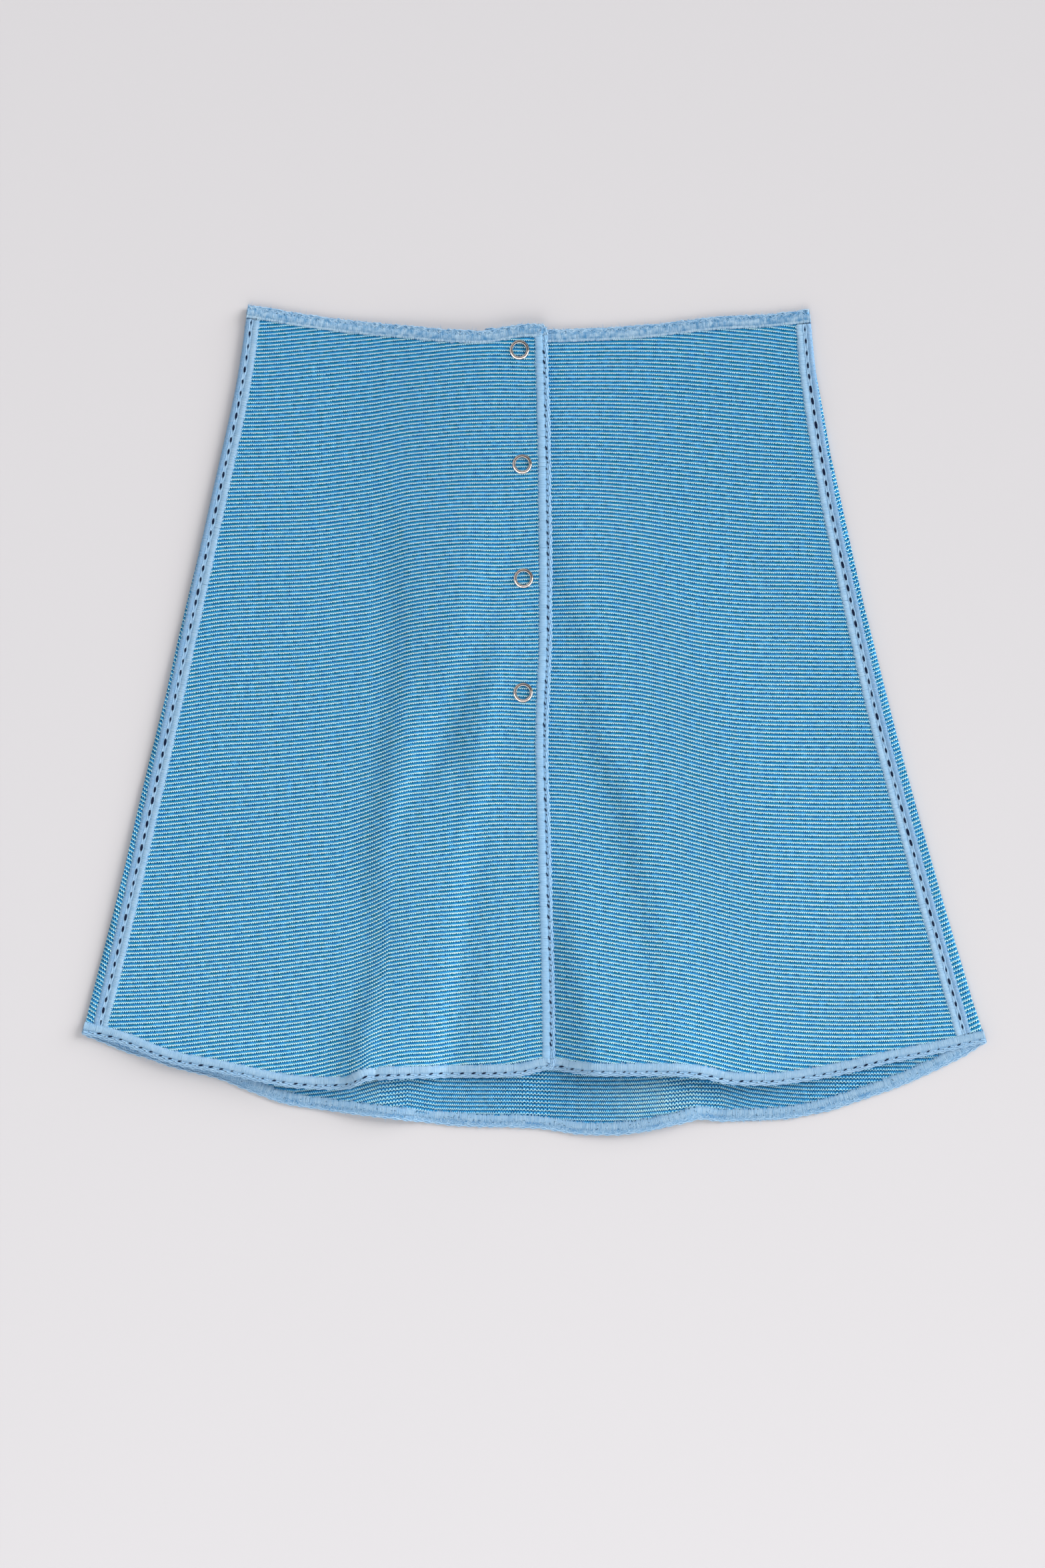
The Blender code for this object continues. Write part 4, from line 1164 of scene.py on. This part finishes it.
class SKIRT_OT_front_panels(bpy.types.Operator):
    """Knit both front panels, the left one lapping over the right one"""
    bl_idname = "skirt.front_panels"
    bl_label = "Front Panels"

    def execute(self, context):
        knit = context.scene.skirt_knit
        hidden, seam = 1.6, 3.6
        materials = knit_materials("front_knit", knit)
        left = front_panel(
            "front_left_knit", lambda y: left_seam(y) + seam * left_seam.slant(y),
            lambda y: placket(y) - TRIM + hidden, knit_edge(waist_left, 1, hidden),
            knit_edge(hem_left, -1, hidden), left_lift, left_under, knit, materials)
        right = front_panel(
            "front_right_knit", lambda y: underlap_edge(y) + TRIM - hidden,
            lambda y: right_seam(y) - seam * right_seam.slant(y), knit_edge(waist_right, 1, hidden),
            knit_edge(hem_right, -1, hidden), right_rows, right_under, knit, materials)
        settle(left, "front_left_panel")
        settle(right, "front_right_panel")
        return {"FINISHED"}


def crossing(across, along):
    """Where an upright line crosses a waist or hem line, as a distance across the skirt."""
    x = 0.0
    for _ in range(20):
        x = float(along(across(x)))
    return x


class SKIRT_OT_edge_trims(bpy.types.Operator):
    """Overlock the waist, hem and placket edges"""
    bl_idname = "skirt.edge_trims"
    bl_label = "Edge Trims"

    def execute(self, context):
        thread = context.scene.skirt_thread
        rng = np.random.default_rng(SEED)
        hem = thread_material("hem_thread", thread, thread.colour, thread.mid)
        waist = thread_material("waist_thread", thread, thread.waist, thread.waist_mid, 2.2)
        side = thread_material("placket_thread", thread, thread.placket, thread.mid)
        turn = 4.0
        top_x = crossing(waist_left, placket)
        low_x = crossing(hem_left, placket)
        inset = 0.3
        waist_left_path = np.concatenate((
            level_path(waist_left, crossing(waist_left, left_fold) + inset, top_x - turn),
            corner(top_x - turn, float(waist_left(top_x - turn)) - turn, turn, 90.0, -90.0),
            upright_path(placket, 207.5, 205.6)))
        waist_right_path = level_path(waist_right, crossing(waist_right, underlap_edge),
                                      crossing(waist_right, right_fold) - inset)
        waist_back_path = level_path(waist_back, crossing(waist_back, left_fold) + inset,
                                     crossing(waist_back, right_fold) - inset)
        hem_left_path = np.concatenate((
            upright_path(placket, -181.1, -183.0),
            corner(low_x - turn, float(hem_left(low_x - turn)) + turn, turn, 0.0, -90.0),
            level_path(hem_left, low_x - turn, -HEM_END)))
        hem_right_path = level_path(hem_right, HEM_END, crossing(hem_right, underlap_edge))
        rows = (
            ("waist_trim_back", waist_back_path, back_lift, "waist", waist),
            ("waist_trim_right", waist_right_path, right_under, "waist", waist),
            ("waist_trim_left", waist_left_path, left_under, "waist", waist),
            ("hem_trim_back", level_path(hem_back, HEM_END, -HEM_END), back_lift, "scruffy", hem),
            ("hem_trim_right", hem_right_path, right_under, "even", hem),
            ("hem_trim_left", hem_left_path, left_under, "even", hem),
            ("placket_trim_right", upright_path(underlap_edge, -179.0, 202.0), right_under, "even", side),
            ("placket_trim_left", upright_path(placket, 205.5, -181.0), left_under, "even", side),
        )
        for name, path, under, style, material in rows:
            piece = make_trim(name + "_threads", Edge(path, under), style, thread, material, rng)
            settle(piece, name)
        return {"FINISHED"}


# Cross-sections of the side seams: distance outward from the seam and height of each point
FRONT_BAND = ((-4.7, 1.16), (-3.9, 1.36), (-3.0, 1.44), (-2.0, 1.36), (-0.85, 1.1))
BACK_BAND = ((0.75, 1.0), (1.5, 1.24), (2.4, 1.3), (3.2, 1.24), (3.7, 1.08))
FRONT_CORE = ((-4.7, 0.95), (-3.0, 1.1), (-1.2, 0.95), (-0.4, 0.6), (-0.4, 0.3), (-4.7, 0.3))
BACK_CORE = ((0.4, 0.6), (1.1, 0.95), (2.4, 1.08), (3.6, 0.98), (3.6, 0.4), (0.4, 0.3))
BACK_TOP = ((0.4, 0.8), (1.1, 0.98), (2.4, 1.26), (3.6, 1.02))
BED = ((-0.9, 0.5), (0.9, 0.5), (0.9, 0.2), (-0.9, 0.2))

# Strands of the ladder: middle, swing, phase and height
LADDER = (
    (-0.75, 0.16, 0.0, 1.08), (0.75, -0.16, 0.0, 1.08), (-0.35, 0.45, 0.4, 0.98), (0.35, -0.45, 0.4, 0.98))


class SKIRT_OT_side_seams(bpy.types.Operator):
    """Overlock both sides of each side seam and lace them together"""
    bl_idname = "skirt.side_seams"
    bl_label = "Side Seams"

    def execute(self, context):
        thread = context.scene.skirt_thread
        rng = np.random.default_rng(SEED + 1)
        material = thread_material("seam_thread", thread, thread.colour, thread.mid)
        grey = thread_material("back_seam_thread", thread, thread.back, thread.mid)
        pitch, repeat = thread.pitch / MM, thread.bundle / MM * 1.12
        turn = 2.0 * math.pi / repeat
        for word, line, side, top, bottom in (("left", left_seam, -1, 214.6, -164.5),
                                              ("right", right_seam, 1, 212.0, -168.0)):
            front = SeamEdge(line, side, top, bottom, False)
            back = SeamEdge(line, side, top, bottom, True)
            front_parts = [
                make_core(front, FRONT_CORE, tone=0.4, depth=0.1),
                make_threads(front, FRONT_BAND, pitch, rng, tone=(0.7, 0.95), ends=(0.25, 0.12),
                             tips=(0.5, 0.8))]
            back_parts = [
                make_core(back, BACK_CORE, tone=0.4, depth=0.1),
                make_threads(back, BACK_BAND, pitch, rng, tone=(0.5, 0.85), ends=(0.12, 0.25),
                             tips=(0.8, 0.6)),
                make_fuzz(back, BACK_TOP, rng, band=(1.2, 3.4), share=1.6, tone=(0.35, 0.95), long=1.3,
                          wide=0.26)]
            ladder_parts = [
                # the bed under the ladder takes more painted shade, dark in the gaps between its strands
                make_core(front, BED, tone=0.3, depth=0.3),
                make_hole_shades(front, rng, start=repeat * 0.5, repeat=repeat, across=0.0, long=3.9, wide=1.45,
                           height=1.38, slant=0.08)]
            ladder_parts += [
                make_cord(front, lambda a, m=m, s=s, p=p: m + s * np.cos(a * turn + p),
                          lambda a, h=h, s=s: h + s * 0.3 * np.sin(a * turn), radius=0.34, tone=0.8,
                          step=0.7)
                for m, s, p, h in LADDER]
            for node, parts, finish in (("side_band_front_", front_parts, material),
                                        ("side_band_back_", back_parts, grey),
                                        ("seam_ladder_", ladder_parts, material)):
                piece = join_parts(node + word + "_threads", parts, finish)
                settle(piece, node + word)
        return {"FINISHED"}


# Shares of the way from the inner to the outer radius, with the height in metres and the painted light there,
# from painted shade at 0 through plain nickel at 0.5 to a painted highlight at 1
RING_PROFILE = (
    (0.0, 0.00005), (0.03, 0.0006), (0.14, 0.00092), (0.24, 0.00102), (0.33, 0.00094), (0.4, 0.00074),
    (0.48, 0.0008), (0.64, 0.00062), (0.84, 0.00038), (1.0, 0.00014), (1.0, 0.0), (0.5, -0.00005))
RING_PAINTED_LIGHT = (
    (0.0, 0.2), (0.1, 0.8), (0.24, 0.95), (0.33, 0.4), (0.4, 0.0), (0.48, 0.5), (0.64, 0.68), (0.84, 0.6),
    (1.0, 0.2))
RING_SIDES = 48


def turned_ring(name, profile, painted_light, centre, material):
    """A ring drawn out of a circle: each step of the profile is an extrusion to a radius and height.

    The painted light is a row of (radius, level from 0 to 1), from painted shade to a painted highlight.
    """
    bpy.ops.object.select_all(action="DESELECT")
    (radius, height), rest = profile[0], profile[1:]
    bpy.ops.mesh.primitive_circle_add(vertices=RING_SIDES, radius=radius,
                                      location=(*centre[:2], centre[2] + height))
    piece = bpy.context.object
    bpy.ops.object.transform_apply(location=True, rotation=True, scale=True)
    bpy.ops.object.mode_set(mode="EDIT")
    bpy.ops.mesh.select_all(action="SELECT")
    bpy.context.scene.tool_settings.transform_pivot_point = "MEDIAN_POINT"
    for wider, higher in [*rest, profile[0]]:
        bpy.ops.mesh.extrude_region_move(TRANSFORM_OT_translate={"value": (0.0, 0.0, higher - height)})
        ratio = wider / radius
        bpy.ops.transform.resize(value=(ratio, ratio, 1.0), center_override=(*centre[:2], centre[2] + higher))
        radius, height = wider, higher
    bpy.ops.mesh.select_all(action="SELECT")
    bpy.ops.mesh.remove_doubles(threshold=1e-6)
    bpy.ops.mesh.normals_make_consistent(inside=False)
    bpy.ops.object.mode_set(mode="OBJECT")
    piece.name = piece.data.name = name
    piece.data.materials.append(material)
    piece.data.shade_smooth()
    radii = [math.hypot(point.co.x - centre[0], point.co.y - centre[1]) for point in piece.data.vertices]
    values = np.zeros((len(radii), 3), np.float32)
    # painted shade and highlight, set by the radius
    values[:, 0] = np.interp(radii, *np.transpose(painted_light))
    store(piece.data, "painted_light", values)
    return piece


class SKIRT_OT_ring_snaps(bpy.types.Operator):
    """Set the ring snaps down the placket"""
    bl_idname = "skirt.ring_snaps"
    bl_label = "Ring Snaps"

    def execute(self, context):
        snaps = context.scene.skirt_snaps
        metal = metal_material("snap_nickel", snaps)
        # the caps take painted shade in the groove and at the rims, and a painted highlight on the lip
        painted = metal_material("snap_nickel_worn", snaps, True)
        wide = snaps.outer - snaps.inner
        profile = [(snaps.inner + share * wide, height) for share, height in RING_PROFILE]
        painted_light = [(snaps.inner + share * wide, light_level) for share, light_level in RING_PAINTED_LIGHT]
        for count, (x, y) in enumerate(SNAPS, start=1):
            seat = (float(left_under(x, y)) + WALL - 0.1) * MM
            ring = turned_ring("snap_%d_cap" % count, profile, painted_light, (x * MM, y * MM, seat), painted)
            settle(ring, "snap_%d_ring" % count)
            for part in ("socket", "stud", "back_ring"):
                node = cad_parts["snap_%d_%s" % (count, part)]
                node.data.materials.clear()
                node.data.materials.append(metal)
        return {"FINISHED"}


def lamp(name, kind, strength, place, target, **settings):
    """A lamp that shines from a place to a target."""
    light = bpy.data.lights.new(name, kind)
    light.energy = strength
    for key, value in settings.items():
        setattr(light, key, value)
    holder = bpy.data.objects.new(name, light)
    bpy.context.collection.objects.link(holder)
    holder.location = place
    holder.rotation_euler = (Vector(target) - Vector(place)).to_track_quat("-Z", "Y").to_euler()
    return holder


class SKIRT_OT_stage(bpy.types.Operator):
    """Lay the skirt on a pale floor under soft studio light, seen from straight above"""
    bl_idname = "skirt.stage"
    bl_label = "Stage"

    def execute(self, context):
        stage = context.scene.skirt_stage
        bpy.ops.object.select_all(action="DESELECT")
        bpy.ops.mesh.primitive_plane_add(size=6.0, location=(0.0, 0.0, -0.0003))
        floor = context.object
        bpy.ops.object.transform_apply(location=True, rotation=True, scale=True)
        floor.name = floor.data.name = "floor"
        floor.data.materials.append(floor_material("pale_floor", stage))
        world = bpy.data.worlds.new("soft_sky")
        world.use_nodes = True
        sky = Nodes(world.node_tree)
        right, ahead, up = sky.parts(sky.node("ShaderNodeTexCoord").outputs["Generated"])
        backdrop = world.node_tree.nodes["Background"].inputs
        backdrop["Color"].default_value = (1.0, 0.995, 1.0, 1.0)
        sky.put(backdrop["Strength"], (1.75 - up.clamped() * 1.35 - right * 0.5 - ahead * 0.25) * stage.sky)
        context.scene.world = world
        key = lamp("key_light", "SUN", stage.key, (2.0, 1.0, 0.8), (0.0, 0.0, 0.0), angle=math.radians(40.0),
                   color=(1.0, 0.985, 0.98))
        key.visible_glossy = False
        for side, place, warmth in (("right", (0.94, -0.34, 0.55), 1.0), ("left", (-0.77, -0.64, 0.55), 0.8)):
            gleam = lamp("gleam_" + side, "AREA", stage.gleam * warmth, place, (0.0, 0.08, 0.0),
                         shape="RECTANGLE", size=1.3, size_y=0.4,
                         color=(1.0, 0.72 + 0.26 * warmth, 0.5 + 0.46 * warmth))
            gleam.visible_diffuse = False
        lamp("low_light", "AREA", stage.low, (0.2, -1.25, 1.4), (0.0, -0.3, 0.0), shape="DISK", size=1.6)
        camera = bpy.data.objects.new("camera", bpy.data.cameras.new("camera"))
        context.collection.objects.link(camera)
        camera.location = (*stage.centre, stage.distance)
        camera.data.sensor_width = 36.0
        camera.data.lens = 36.0 * stage.distance / stage.long_side
        context.scene.camera = camera
        context.scene.view_settings.view_transform = "Standard"
        return {"FINISHED"}


class SKIRT_PT_sidebar(bpy.types.Panel):
    """Sizes and colours of the skirt, with a button for each group of pieces"""
    bl_label = "Knit Skirt"
    bl_space_type = "VIEW_3D"
    bl_region_type = "UI"
    bl_category = "Skirt"

    def draw(self, context):
        for name, _, operators in GROUPS:
            box = self.layout.box()
            settings = getattr(context.scene, name)
            for key in settings.bl_rna.properties.keys():
                if key not in ("rna_type", "name"):
                    box.prop(settings, key)
            for operator in operators:
                box.operator(operator.bl_idname)


GROUPS = (
    ("skirt_knit", SkirtKnitSettings, (SKIRT_OT_back_panel, SKIRT_OT_front_panels)),
    ("skirt_thread", SkirtThreadSettings, (SKIRT_OT_edge_trims, SKIRT_OT_side_seams)),
    ("skirt_snaps", SkirtSnapSettings, (SKIRT_OT_ring_snaps,)),
    ("skirt_stage", SkirtStageSettings, (SKIRT_OT_stage,)),
)


def register():
    for name, settings, operators in GROUPS:
        bpy.utils.register_class(settings)
        setattr(bpy.types.Scene, name, bpy.props.PointerProperty(type=settings))
        for operator in operators:
            bpy.utils.register_class(operator)
    bpy.utils.register_class(SKIRT_PT_sidebar)


def unregister():
    bpy.utils.unregister_class(SKIRT_PT_sidebar)
    for name, settings, operators in reversed(GROUPS):
        for operator in reversed(operators):
            bpy.utils.unregister_class(operator)
        delattr(bpy.types.Scene, name)
        bpy.utils.unregister_class(settings)


def main():
    register()
    bpy.ops.skirt.back_panel()
    bpy.ops.skirt.front_panels()
    bpy.ops.skirt.edge_trims()
    bpy.ops.skirt.side_seams()
    bpy.ops.skirt.ring_snaps()
    bpy.ops.skirt.stage()


if __name__ == "__main__":
    main()
